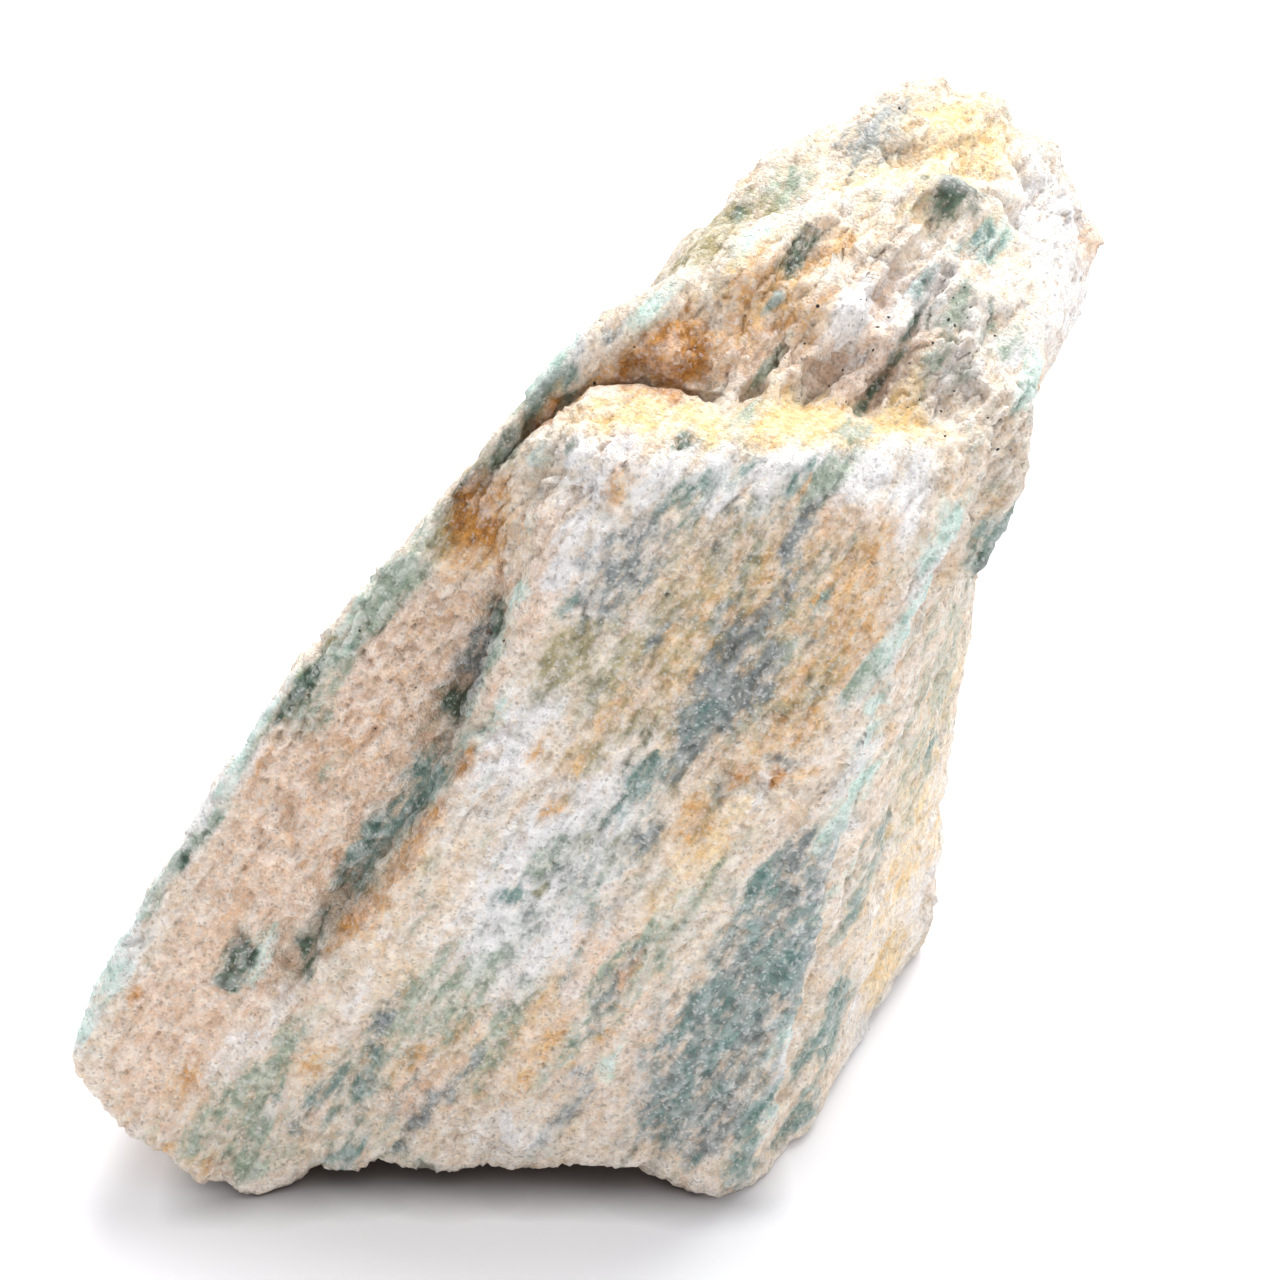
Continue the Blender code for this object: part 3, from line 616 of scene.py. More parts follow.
# The broad tints that the smaller lenses lie in.
BROAD_ZONES = {
    Mineral.TAN: ((-20, -21, 32, 27, 8, 5.4, 0.9), (-5, -22, 49, 8, 5, 1.6, 0.85),
        (8, -23, 46, 13, 6, 7.5, 0.8), (-2, -25.6, 14, 10, 5, 8, 0.75), (-24, -24, 10, 12, 6, 7, 0.6),
        (13, -7, 61.5, 5, 6, 4, 0.85), (19, -7, 60.5, 7, 6, 5, 0.95)),
    Mineral.ORANGE: ((9, -22.5, 46, 11, 5, 6, 0.66), (-18, -21, 34, 20, 8, 4.6, 0.2),
        (-9, -25.3, 13.6, 5, 5, 6, 0.42), (11.5, -5.6, 62.8, 5, 4, 3.6, 0.75)),
    Mineral.YELLOW: ((9, -22.5, 46, 11, 5, 6, 0.4), (7, -25, 31, 8, 5, 2.4, 0.5),
        (-4, -25.6, 13, 8, 5, 8, 0.35), (13, -4, 63.5, 4, 6, 4, 0.4), (29, -3, 60, 8, 9, 3.6, 0.3),
        (23, 12, 62, 9, 12, 6, 0.6), (22, -6, 18, 20, 10, 7, 0.6)),
    Mineral.OLIVE: ((6, -23, 45, 14, 5, 8, 0.46), (-22.4, -20, 37.6, 6, 4, 0.6, 0.6),
        (-9.4, -14.6, 52.8, 5, 4, 1.2, 0.85)),
    Mineral.SAGE: ((8, -22.5, 47, 14, 5, 9, 0.4), (-2, -25.3, 28, 12, 5, 4.6, 0.3),
        (-9, -25.2, 18, 7, 5, 1.2, 0.6), (-0.4, -26, 17, 8, 5, 1.2, 0.6), (5, -25.8, 24, 8, 5, 1.2, 0.6),
        (-21, -24, 6, 7, 6, 5, 0.36), (-14, -24.8, 3, 3, 4, 9, 0.4), (-29, -21.4, 27, 7, 4, 0.7, 0.8),
        (-19.4, -19.2, 41, 5, 4, 1.6, 0.8), (-15, -18.2, 45.6, 6, 4, 0.8, 0.8),
        (-14, -17.2, 47.4, 8, 2.4, 1, 0.8), (23, -7, 30, 22, 10, 5, 0.45)),
    Mineral.BLUE_GREY: ((8, -22.5, 46, 14, 5, 9, 0.3), (-3, -25.3, 28, 12, 5, 4.6, 0.26),
        (9.8, -25.3, 17, 15, 4, 3.8, 0.95)),
    Mineral.WHITE: ((0, -22, 53, 5, 5, 2.6, 0.6), (-5.6, -24, 39.6, 8, 5, 2.2, 0.75),
        (-3.6, -25.3, 28, 13, 5, 4.8, 0.9), (-2, -25.6, 12, 10, 5, 9, 0.4), (0, -25.6, 31, 6, 5, 2.6, 1),
        (-7, -25.4, 22.6, 6, 5, 3, 1), (-34.6, -22.4, 18.5, 8, 4, 1.6, 0.9),
        (-29.6, -21.4, 27.5, 7, 4, 1.3, 0.9), (-24.6, -20.3, 35.9, 6, 4, 1.3, 0.9),
        (20, -4, 62, 7, 6, 4.6, 0.4), (28, -4, 60, 8, 9, 3.6, 0.7), (33, 14, 56, 12, 12, 8, 0.75),
        (20, 8, 64, 8, 8, 6, 0.5), (23, -6, 14, 20, 10, 7, 0.85)),
    Mineral.TEAL: ((-17, -24.8, 8, 6, 5, 2.4, 0.5), (9.8, -25.3, 17, 15, 4, 3.8, 0.5)),
    Mineral.MINT: ((-34.6, -22.4, 18.5, 8, 4, 0.7, 0.6), (-24.2, -20.3, 35.6, 6, 4, 0.6, 0.7),
        (-15.8, -18, 46, 6, 4, 1.2, 0.8), (-4, -10.2, 58.8, 9, 2.2, 0.9, 0.9)),
    Mineral.DARK_GREEN: ((-7.4, -13.4, 54.4, 5, 1.6, 0.6, 0.8),),
}

MINERAL_MAP = STRIPS + lenses_of(
    RIM_AND_POCKET, SLAB_TOP, UPPER_FRONT, LEFT_FACE, LOWER_FRONT, CROWN, RIGHT_FLANK, BACK_AND_BASE,
    BROAD_ZONES,
)

# How much of a mineral lies where no lens is.
EVERYWHERE = {
    Mineral.TAN: 0.3,
    Mineral.WHITE: 0.22,
    Mineral.MINT: 0.08,
    Mineral.YELLOW: 0.18,
    Mineral.SAGE: 0.16,
    Mineral.BLUE_GREY: 0.1,
    Mineral.TEAL: 0.04,
    Mineral.OLIVE: 0.08,
    Mineral.ORANGE: 0.14,
}

# How strongly a mineral keeps to the layers' bands, or keeps out of them where it is below zero.
BANDED = {
    Mineral.SAGE: 0.7,
    Mineral.TEAL: 0.7,
    Mineral.BLUE_GREY: 0.7,
    Mineral.OLIVE: 0.7,
    Mineral.DARK_GREEN: 0.4,
    Mineral.WHITE: -0.4,
    Mineral.TAN: -0.4,
    Mineral.YELLOW: -0.3,
}

# The share of a zone's reach that has its full strength.
ZONE_CORE = 0.4

RUBBLE = (
    Zone((19, -4, 62), 13, 0.42),
    Zone((10, -7, 61), 6, 0.45),
    Zone((22, 16, 60), 15, 0.16),
    Zone((34, 20, 52), 12, 0.2),
    Zone((-2, -17, 58), 5.5, 0.45),
    Zone((-5, -17, 53), 5, 0.5),
    Zone((0, 22, 30), 34, 0.3),
    Zone((26, -9, 58), 6, 0.6),
    Zone((-14, -19, 40), 12, 0.25),
    Zone((-10, -24, 2), 14, 0.12),
)
CALM = (
    Zone((17, -7, 62.5), 3.4, 0.5),
    Zone((31, -3, 60), 7, 0.45),
    Zone((13.5, -15.4, 59), 4.6, 0.8),
    Zone((18.6, -14.4, 58.4), 3.6, 0.7),
    Zone((5, -14.8, 59.4), 3.8, 0.6),
    Zone((24.8, 4.4, 66), 2.4, 0.7),
    Zone((-2.5, -10.2, 60), 2.6, 0.5),
    Zone((4.9, -9.6, 60), 2, 0.3),
)
PITTED = (
    Zone((-12, -20, 42), 12, 1),
    Zone((-20, -22, 31), 12, 0.9),
    Zone((-27, -23, 18), 11, 0.6),
    Zone((-8.2, -20.4, 45), 2.4, 1),
    Zone((20, -8, 60), 8, 0.7),
)
SPECKLED = (
    Zone((20, -6, 61), 9, 0.9),
    Zone((-8.2, -20.2, 44.6), 3.6, 1),
    Zone((-12, -20, 42), 8, 0.2),
    Zone((25, -11, 57), 5, 0.7),
    Zone((0, -9, 61), 5, 0.5),
)
RIBBED = (
    Zone((18, -5, 61.5), 12, 1),
    Zone((29, -5, 59), 7, 0.6),
    Zone((20, 14, 62), 10, 0.2),
)
LAMINATED = (
    Zone((-16.5, -17.6, 46), 5, 0.8),
    Zone((-23, -19.6, 38), 6, 0.8),
    Zone((-30, -21.4, 26), 6, 0.6),
    Zone((-8, -12.6, 55), 4, 0.8),
    Zone((-2, -9, 61), 3.4, 0.5),
    Zone((26, -11, 55), 5, 0.5),
)

# The steps at the slab's left and right edges.
DROPS = (
    Drop(
        ((-4.6, -19, 54.4), (-5.4, -21, 50), (-6.8, -21.9, 46), (-8.6, -22.8, 41.4), (-9.6, -24, 37.2),
         (-12.2, -24.8, 32), (-15.8, -25, 26.2), (-20.2, -24.6, 20.4)),
        1.9, 0.9, 6, (0.2, 0.95, -0.2), (-0.88, 0, 0.47),
    ),
    Drop(
        ((26.8, -14.4, 54), (23.8, -17, 50), (21.2, -20.2, 45.2), (19.2, -22.4, 40.6), (17.6, -24, 35.4),
         (15.8, -24.9, 25.6), (13.6, -25, 11)),
        1.4, 0.4, 5, (-0.9, 0.4, 0), (0.88, 0.3, -0.3),
    ),
)

# The lip of the ledge, the swelling of the feet, the cracks, and two low ridges on the front.
CARVINGS = (
    Carving(
        ((-3, -19.4, 58), (3, -20.4, 59), (9, -20.4, 59.2), (15, -20.4, 58.4), (21, -18.6, 57)),
        4.4, 1.1, (0, 0.75, -0.65), Profile.ROUND,
    ),
    Carving(
        ((-31, -25, 0), (-18, -25.4, 0), (-6, -25.8, 0), (4, -25.6, 0), (9, -25.2, 0)),
        3.4, -0.7, (0, 0.95, 0.3), Profile.ROUND,
    ),
    Carving(
        ((15.6, -4.8, 63.4), (13.4, -7.6, 61.2), (11.6, -9.4, 59.6), (10, -11, 58.6)),
        0.7, 1, (0.1, 0.5, -0.85),
    ),
    Carving(
        ((24, -2.4, 63.4), (22.2, -5.4, 61.8), (20.2, -7.8, 59.9), (18.2, -10.6, 58.2)),
        0.7, 1.1, (0.1, 0.5, -0.85),
    ),
    Carving(
        ((-9.2, -15, 52.8), (-6.7, -13.6, 54.6), (-4.6, -11.9, 56.8), (-1.8, -11, 58.6), (0.6, -10.2, 59.2),
         (3, -9.7, 59.2), (5.6, -10.6, 59), (8, -11.5, 59.1)),
        0.85, 2.2, (-0.15, 0.75, -0.65),
    ),
    Carving(
        ((-6.9, -19.4, 49.6), (-8, -20.8, 44.6), (-9.6, -21.2, 41), (-11.4, -22.6, 36.2),
         (-13.2, -23.8, 32), (-16.6, -23.4, 27), (-19.8, -23.3, 22.2), (-21.6, -23.8, 19.6)),
        0.6, 0.7, (0.2, 0.95, -0.2),
    ),
    Carving(
        ((8.6, -24.4, 37.2), (10.2, -24.6, 36.2), (12, -24.6, 35.5), (15, -24.2, 35.6)),
        0.6, 1, (-0.1, 0.98, 0.1),
    ),
    Carving(((22.8, -18.2, 50.6), (21.2, -19.8, 48.8), (20.4, -20.8, 47.6)), 0.4, 0.6, (-0.4, 0.9, 0)),
    Carving(
        ((27.4, -3.2, 60.8), (25.6, -7, 59.6), (24.2, -9.4, 58.7), (23.8, -10.8, 57.8)),
        0.5, 0.6, (0.1, 0.5, -0.85),
    ),
    Carving(((-6.6, -15.6, 54.4), (-5.6, -16.6, 53.6), (-4.6, -18.4, 53)), 0.8, 0.8, (0.4, 0.85, 0)),
    Carving(((5.4, -18.2, 59.4), (5.9, -16.6, 59.6), (6.2, -15.6, 59.6)), 0.5, 0.6, (0, 0.2, -0.98)),
    Carving(
        ((7.4, -24, 45), (8.7, -23.6, 44.8), (9.8, -23.2, 45.4)),
        0.45, -0.3, (0, 0.98, -0.2), Profile.ROUND,
    ),
    Carving(
        ((-9.2, -24.3, 37.6), (-10.6, -24.9, 35), (-13.4, -25.2, 30.2)),
        0.6, -0.3, (0, 0.98, -0.2), Profile.ROUND,
    ),
)

# The swellings of the far top, the far corner, the left end and the feet, then small dents and lumps.
BOWLS = (
    Bowl((8, 5, 61.6), 6.5, -1.2, (0.6, -0.2, -0.75)),
    Bowl((13, 12.6, 62), 7, -1, (0.4, -0.3, -0.85)),
    Bowl((24.4, 23.4, 62.4), 9, -1, (0, -0.2, -1)),
    Bowl((32, 24, 58.6), 6.5, -1.6, (-0.5, 0, -0.85)),
    Bowl((-35.4, -23, 9.6), 5, -0.6, (0.9, 0.2, 0.3)),
    Bowl((-28.5, -25, 1.2), 8, -1, (0.2, 0.95, 0.2)),
    Bowl((8.4, -25.2, 1), 7, -0.7, (-0.2, 0.95, 0.2)),
    Bowl((20, 18, 62.6), 14, -1.1, (0.1, -0.6, -0.8)),
    Bowl((33, 16, 56), 10, -0.7, (-0.8, -0.3, -0.5)),
    Bowl((8.7, -23.1, 46.2), 1.7, 0.9, (0, 0.95, -0.3)),
    Bowl((17, -6.8, 63), 2.6, -0.9, (0.1, 0.5, -0.85)),
    Bowl((24.6, 4.4, 66), 2.6, -0.7, (0, 0.2, -1)),
    Bowl((-8.2, -20.2, 45.6), 1.6, 0.6, (0.2, 0.95, -0.2)),
    Bowl((-8.2, -16.4, 51.4), 2.2, 0.7, (0.2, 0.9, -0.4)),
    Bowl((-1.6, -19.6, 56.4), 1.4, 0.6, (0.2, 0.9, -0.4)),
    Bowl((1.2, -19.6, 58.4), 1.6, -0.4, (0.2, 0.9, -0.4)),
    Bowl((4.9, -9.2, 60.6), 1.9, -0.5, (0.2, 0.9, -0.4)),
)


@dataclass(frozen=True)
class MineralField:
    """How much of each mineral lies where: the lenses, bent, and torn into streaks and mottles."""

    seed: int
    slow_size: Place = (6.0, 6.0, 2.5)
    slow_push: Place = (2.0, 2.0, 0.8)
    quick_size: Place = (1.8, 1.8, 0.9)
    quick_push: Place = (0.8, 0.8, 0.3)
    quick_start: float = 9.0
    lens_edge: float = 1.75
    lens_core: float = 0.15
    give_way: float = 0.82
    band_size: Place = (8.0, 8.0, 1.1)
    streak_size: Place = (4.0, 4.0, 1.0)
    mottle_size: float = 2.0
    mottle_share: float = 0.7
    spread: float = 0.7
    pattern_step: float = 23.7
    fade_in: float = 0.12
    tear: float = 0.42

    def amounts(self, points: np.ndarray) -> dict[Mineral, np.ndarray]:
        """Works out how much of each mineral lies at each point.

        Args:
            points: places on the surface, in millimetres.

        Returns:
            For each mineral an array from 0 to 1, which is 0.5 on the edge of where it shows.
        """
        noise = Noise(self.seed)
        bent = self.bent(points, noise)
        found = self.laid_down(bent)
        bands = even_spread(noise.fractal(bent / np.array(self.band_size))) - 0.5
        for number, mineral in enumerate(Mineral, start=1):
            start = self.pattern_step * number
            streaks = noise.fractal(bent / np.array(self.streak_size) + start)
            mottles = noise.fractal(points / self.mottle_size + start)
            field = self.spread * (even_spread(streaks + self.mottle_share * mottles) - 0.5)
            field = field + BANDED.get(mineral, 0.0) * bands
            shown = smooth_step(0.0, self.fade_in, found[mineral])
            found[mineral] = np.clip(found[mineral] + self.tear * field, 0.0, 1.0) * shown
        found[Mineral.SPECKS] = np.maximum(found[Mineral.SPECKS], zone_strength(points, SPECKLED))
        return found

    def bent(self, points: np.ndarray, noise: Noise) -> np.ndarray:
        """Bends the layers.

        Args:
            points: places on the surface, in millimetres.
            noise: the noise that bends them.

        Returns:
            The points' places in the layers: along their rise, along their depth and across them.
        """
        turned = Layers.turned(points)
        slow = noise.shift(turned / np.array(self.slow_size))
        quick = noise.shift(turned / np.array(self.quick_size) + self.quick_start)
        return turned + slow * np.array(self.slow_push) + quick * np.array(self.quick_push)

    def laid_down(self, bent: np.ndarray) -> dict[Mineral, np.ndarray]:
        """Adds up the lenses and what lies everywhere, which gives way where a lens is strong.

        Args:
            bent: the points' places in the bent layers.

        Returns:
            Each mineral's amount, from 0 to 1, before it is torn.
        """
        found = {mineral: np.full(len(bent), EVERYWHERE.get(mineral, 0.0)) for mineral in Mineral}
        lenses = {mineral: np.zeros(len(bent)) for mineral in Mineral}
        for lens in MINERAL_MAP:
            middle = Layers.turned(np.array([lens.middle]))[0]
            size = np.array([lens.rise, lens.deep, lens.across])
            far = np.linalg.norm((bent - middle) / size, axis=1)
            share = smooth_step(self.lens_edge, self.lens_core, far) * lens.amount
            lenses[lens.mineral] = np.maximum(lenses[lens.mineral], share)
        strongest = np.maximum.reduce(list(lenses.values()))
        for mineral in EVERYWHERE:
            found[mineral] *= 1.0 - self.give_way * strongest
        return {mineral: np.maximum(found[mineral], lenses[mineral]) for mineral in Mineral}


@dataclass(frozen=True)
class Ground:
    """The carved surface that the relief is drawn on: its points, the way that it faces at each, their
    places in the layers, a push that bends the layers, how crumbled it is, and the noise to use."""

    points: np.ndarray
    facing: np.ndarray
    turned: np.ndarray
    wander: np.ndarray
    rubble: np.ndarray
    noise: Noise

    @classmethod
    def of(cls, points: np.ndarray, facing: np.ndarray, noise: Noise, wander_size: float) -> "Ground":
        """The ground at these points, bent by pushes of a size."""
        wander = noise.shift(points / wander_size)
        return cls(points, facing, Layers.turned(points), wander, zone_strength(points, RUBBLE), noise)


@dataclass
class StoneSkin:
    """The stone's surface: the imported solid's skin, drawn finely and broken."""

    name: str = "serpentine_surface"
    voxel: float = 0.3
    soften: float = 0.5
    soften_rounds: int = 4
    face_budget: int = 194000
    merge_gap: float = 0.0005
    seed: int = 7

    wander_size: float = 5.0
    chip_shape: Place = (1.0, 1.0, 0.6)
    chip_bend: float = 0.9
    chips: tuple[Chips, ...] = (
        Chips(4.6, 1.3, 0.0, 0.18, 0.82),
        Chips(2.0, 0.6, 31.0, 0.18, 0.82),
        Chips(1.0, 0.3, 57.0, 0.35, 1.3),
    )
    grit_size: float = 1.0
    grit_height: float = 0.1
    band_size: Place = (8.0, 8.0, 0.8)
    band_bend: float = 0.5
    band_height: float = 0.2
    band_shares: tuple[float, float] = (0.4, 0.6)
    crack_shape: Place = (0.2, 0.2, 1.0)
    crack_spacing: float = 2.8
    crack_bend: float = 0.8
    crack_start: float = 40.0
    crack_edge: float = 0.94
    crack_depth: float = 0.6
    crack_shares: tuple[float, float] = (0.35, 0.65)
    lump_size: float = 2.4
    lump_start: float = 71.0
    lump_gain: float = 0.55
    lump_height: float = 0.4
    pits: tuple[tuple[float, float], ...] = ((1.5, 0.5), (2.6, 0.7))
    pit_rim: float = 0.42
    pit_floor: float = 0.1
    pit_chance: float = 0.55
    pit_shares: tuple[float, float] = (0.12, 0.88)
    rib_width: float = 3.0
    rib_shape: Place = (9.0, 9.0, 3.0)
    rib_start: float = 5.0
    rib_bend: float = 0.6
    rib_height: float = 0.8
    rib_top: tuple[float, float] = (0.85, 0.9)
    leaf_width: float = 0.9
    leaf_shape: Place = (7.0, 7.0, 2.0)
    leaf_bend: float = 0.5
    leaf_height: float = 0.45
    leaf_top: float = 0.8

    carve_wander: float = 0.35
    carve_wander_size: float = 2.2
    drop_core: float = 0.3
    spare: float = 0.8
    small_rounds: int = 3
    large_rounds: int = 24
    small_hollow: tuple[float, float] = (0.02, 0.2)
    large_hollow: tuple[float, float] = (0.05, 0.7)
    small_crest: tuple[float, float] = (0.0, 0.12)

    def build(self) -> bpy.types.Object:
        """Draws the surface, carves it and notes its minerals.

        Returns:
            The finished mesh object, at the origin.
        """
        stone = self.copy_of_solid()
        self.apply(stone, "REMESH", mode="VOXEL", voxel_size=self.voxel * MM)
        self.apply(stone, "SMOOTH", factor=self.soften, iterations=self.soften_rounds)
        self.move_to(stone, self.carve(self.points_of(stone)))
        self.roughen(stone)
        faces = sum(len(face.vertices) - 2 for face in stone.data.polygons)
        self.apply(stone, "TRIANGULATE")
        self.apply(stone, "DECIMATE", ratio=min(1.0, self.face_budget / faces))
        self.keep_in_box(stone)
        self.note_minerals(stone)
        self.note_relief(stone)
        bpy.ops.object.shade_smooth()
        return stone

    def copy_of_solid(self) -> bpy.types.Object:
        """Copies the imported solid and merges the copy's corners.

        Returns:
            The copy, selected and active.
        """
        bpy.ops.object.select_all(action="DESELECT")
        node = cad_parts[NODE]
        stone = bpy.data.objects.new(self.name, node.data.copy())
        bpy.context.scene.collection.objects.link(stone)
        stone.select_set(True)
        bpy.context.view_layer.objects.active = stone
        stone.data.materials.clear()
        bpy.ops.object.mode_set(mode="EDIT")
        bpy.ops.mesh.select_all(action="SELECT")
        bpy.ops.mesh.remove_doubles(threshold=self.merge_gap * MM)
        bpy.ops.object.mode_set(mode="OBJECT")
        return stone

    @staticmethod
    def apply(stone: bpy.types.Object, kind: str, **settings: object) -> None:
        """Adds a modifier and makes its result the mesh.

        Args:
            stone: the object, which is the active one.
            kind: the modifier's type.
            settings: the modifier's values.
        """
        modifier = stone.modifiers.new(kind.lower(), kind)
        for key, value in settings.items():
            setattr(modifier, key, value)
        bpy.ops.object.modifier_apply(modifier=modifier.name)

    @staticmethod
    def vectors(holder: object, name: str) -> np.ndarray:
        """Reads a vector of each item of a mesh.

        Args:
            holder: the mesh's vertices or their normals.
            name: the vector to read.

        Returns:
            A row of three numbers for each item.
        """
        flat = np.empty(len(holder) * 3, np.float32)
        holder.foreach_get(name, flat)
        return flat.reshape(-1, 3).astype(float)

    def points_of(self, stone: bpy.types.Object) -> np.ndarray:
        """The mesh's points in millimetres."""
        return self.vectors(stone.data.vertices, "co") / MM

    def facing_of(self, stone: bpy.types.Object) -> np.ndarray:
        """The way that the surface faces at each point."""
        return self.vectors(stone.data.vertex_normals, "vector")

    @staticmethod
    def move_to(stone: bpy.types.Object, points: np.ndarray) -> None:
        """Puts the mesh's points at these places, given in millimetres."""
        stone.data.vertices.foreach_set("co", (points * MM).astype(np.float32).ravel())
        stone.data.update()

    @staticmethod
    def note(stone: bpy.types.Object, name: str, *channels: np.ndarray) -> None:
        """Writes a colour attribute of the mesh.

        Args:
            stone: the object.
            name: the attribute's name.
            channels: its red, green and blue at each point.
        """
        colours = np.ones((len(stone.data.vertices), 4), np.float32)
        for number, channel in enumerate(channels):
            colours[:, number] = channel
        layer = stone.data.color_attributes.new(name, "FLOAT_COLOR", "POINT")
        layer.data.foreach_set("color", colours.ravel())

    def carve(self, points: np.ndarray) -> np.ndarray:
        """Presses the stone's own steps, cracks, ridges and hollows in.

        Args:
            points: the surface's points.

        Returns:
            Their new places.
        """
        noise = Noise(self.seed + 1)
        wandered = points + self.carve_wander * noise.shift(points / self.carve_wander_size)
        moved = points.copy()
        for drop in DROPS:
            gap, away = nearest_on_path(wandered, drop.path)
            share = smooth_step(-drop.wall, drop.wall, away @ unit(drop.side))
            share = share * smooth_step(drop.reach, self.drop_core * drop.reach, gap)
            moved += unit(drop.inward) * (share * drop.depth)[:, None]
        for carving in CARVINGS:
            gap, _ = nearest_on_path(wandered, carving.path)
            share = np.clip(1.0 - gap / carving.half_width, 0.0, 1.0)
            if carving.profile is Profile.ROUND:
                share = eased(share)
            moved += unit(carving.inward) * (share * carving.depth)[:, None]
        for bowl in BOWLS:
            share = smooth_step(1.0, 0.0, distance_to(wandered, bowl.middle) / bowl.reach)
            moved += unit(bowl.inward) * (share * bowl.depth)[:, None]
        return moved

    def roughen(self, stone: bpy.types.Object) -> None:
        """Breaks the surface: chips and bands, then cracks and pits, then ribs and leaves.

        Args:
            stone: the carved object.
        """
        ground = Ground.of(self.points_of(stone), self.facing_of(stone), Noise(self.seed), self.wander_size)
        height = self.chips_and_bands(ground) - self.cracks(ground)
        height += self.lumps_and_pits(ground)
        height += self.ribs_and_leaves(ground)
        calm = 1.0 - zone_strength(ground.points, CALM)
        self.move_to(stone, ground.points + ground.facing * (height * calm)[:, None])

    def chips_and_bands(self, ground: Ground) -> np.ndarray:
        """The relief of flat chips, fine grit, and bands where the surface cuts across the layers.

        Args:
            ground: the surface.

        Returns:
            The height at each point.
        """
        height = np.zeros(len(ground.points))
        chipped = ground.turned / np.array(self.chip_shape) + self.chip_bend * ground.wander
        for chips in self.chips:
            relief = chips.height * ground.noise.chips(chipped / chips.size + chips.start)
            height += relief * (chips.sound + chips.rubble * ground.rubble)
        height += self.grit_height * ground.noise.fractal(ground.points / self.grit_size)
        bent = ground.turned + self.band_bend * ground.wander
        bands = ground.noise.fractal(bent * (1.0 / np.array(self.band_size)))
        cut_across = 1.0 - np.abs(ground.facing @ Layers.facing)
        always, more = self.band_shares
        return height + self.band_height * bands * (always + more * cut_across)

    def cracks(self, ground: Ground) -> np.ndarray:
        """Thin cracks along the layers.

        Args:
            ground: the surface.

        Returns:
            The depth at each point.
        """
        bent = ground.turned + self.crack_bend * ground.wander
        stretch = np.array(self.crack_shape) / self.crack_spacing
        field = ground.noise.fractal(bent * stretch + self.crack_start, 2, 0.5)
        crack = smooth_step(self.crack_edge, 1.0, 1.0 - np.abs(field))
        always, more = self.crack_shares
        return self.crack_depth * crack * (always + more * ground.rubble)

    def lumps_and_pits(self, ground: Ground) -> np.ndarray:
        """The lumps and the round pits of the weathered places.

        Args:
            ground: the surface.

        Returns:
            The height at each point, below zero in a pit.
        """
        points, noise = ground.points, ground.noise
        pitted = zone_strength(points, PITTED)
        lumps = noise.fractal(points / self.lump_size + self.lump_start, gain=self.lump_gain)
        height = self.lump_height * lumps * pitted
        always, more = self.pit_shares
        for spacing, depth in self.pits:
            gap, chance = noise.cells(points / spacing)
            pits = smooth_step(self.pit_rim, self.pit_floor, gap) * (chance > self.pit_chance)
            height -= depth * pits * (always + more * pitted)
        return height

    def ribs_and_leaves(self, ground: Ground) -> np.ndarray:
        """The ribs of the crown, and the thin leaves where layers stand on edge.

        Args:
            ground: the surface.

        Returns:
            The height at each point.
        """
        points, turned, smooth = ground.points, ground.turned, ground.noise.smooth
        across = turned[:, 2]
        bend = self.rib_bend * smooth(turned / np.array(self.rib_shape) + self.rib_start)
        rib = (across / self.rib_width + bend) % 1.0
        rise, fall = self.rib_top
        ribs = smooth_step(0.0, rise, rib) * smooth_step(1.0, fall, rib) - 0.5
        bend = self.leaf_bend * smooth(turned / np.array(self.leaf_shape))
        leaf = (across + bend) / self.leaf_width % 1.0
        leaves = self.leaf_height * zone_strength(points, LAMINATED) * smooth_step(0.0, self.leaf_top, leaf)
        return self.rib_height * zone_strength(points, RIBBED) * ribs + leaves

    def keep_in_box(self, stone: bpy.types.Object) -> None:
        """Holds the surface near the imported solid's box, and level where the stone rests.

        Args:
            stone: the object.
        """
        low, high = (np.array(corner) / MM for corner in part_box(NODE))
        spare = np.array([self.spare, self.spare, 0.0])
        lift = np.array([0.0, 0.0, self.spare])
        self.move_to(stone, np.clip(self.points_of(stone), low - spare, high + spare + lift))

    def note_minerals(self, stone: bpy.types.Object) -> None:
        """Writes the amount of each mineral at each point as colour attributes of the mesh.

        Args:
            stone: the object.
        """
        amounts = MineralField(self.seed + 2).amounts(self.points_of(stone))
        for name in ATTRIBUTES:
            self.note(stone, name, *(amounts[mineral] for mineral in Mineral if mineral.value[0] == name))

    def note_relief(self, stone: bpy.types.Object) -> None:
        """Writes how hollow each point lies, in small and in large forms, and how far it stands out.

        Args:
            stone: the object.
        """
        points = self.points_of(stone)
        facing = self.facing_of(stone)
        ends = np.empty(len(stone.data.edges) * 2, np.int32)
        stone.data.edges.foreach_get("vertices", ends)
        ends = ends.reshape(-1, 2)
        source, target = np.concatenate([ends, ends[:, ::-1]]).T
        count = np.bincount(target, minlength=len(points))[:, None]
        smoothed = points.copy()
        depths = []
        for rounds in (self.small_rounds, self.large_rounds):
            for _ in range(rounds):
                total = [np.bincount(target, smoothed[source, axis], len(points)) for axis in range(3)]
                smoothed = np.stack(total, axis=1) / count
            depths.append(np.einsum("ij,ij->i", smoothed - points, facing))
        small, large = depths
        # The finish reads these to darken the hollows with dirt and painted shade and to whiten the crests
        # as a painted highlight.
        self.note(stone, "relief", smooth_step(*self.small_hollow, small),
                  smooth_step(*self.large_hollow, large), smooth_step(*self.small_crest, -small))


@dataclass(frozen=True)
class Tone:
    """A colour as it is seen, from 0 to 1 in red, green and blue."""

    red: float
    green: float
    blue: float

    def linear(self) -> tuple[float, float, float, float]:
        """The colour as light, with an alpha of 1."""
        seen = (self.red, self.green, self.blue)
        return (*(c / 12.92 if c <= 0.04045 else ((c + 0.055) / 1.055) ** 2.4 for c in seen), 1.0)


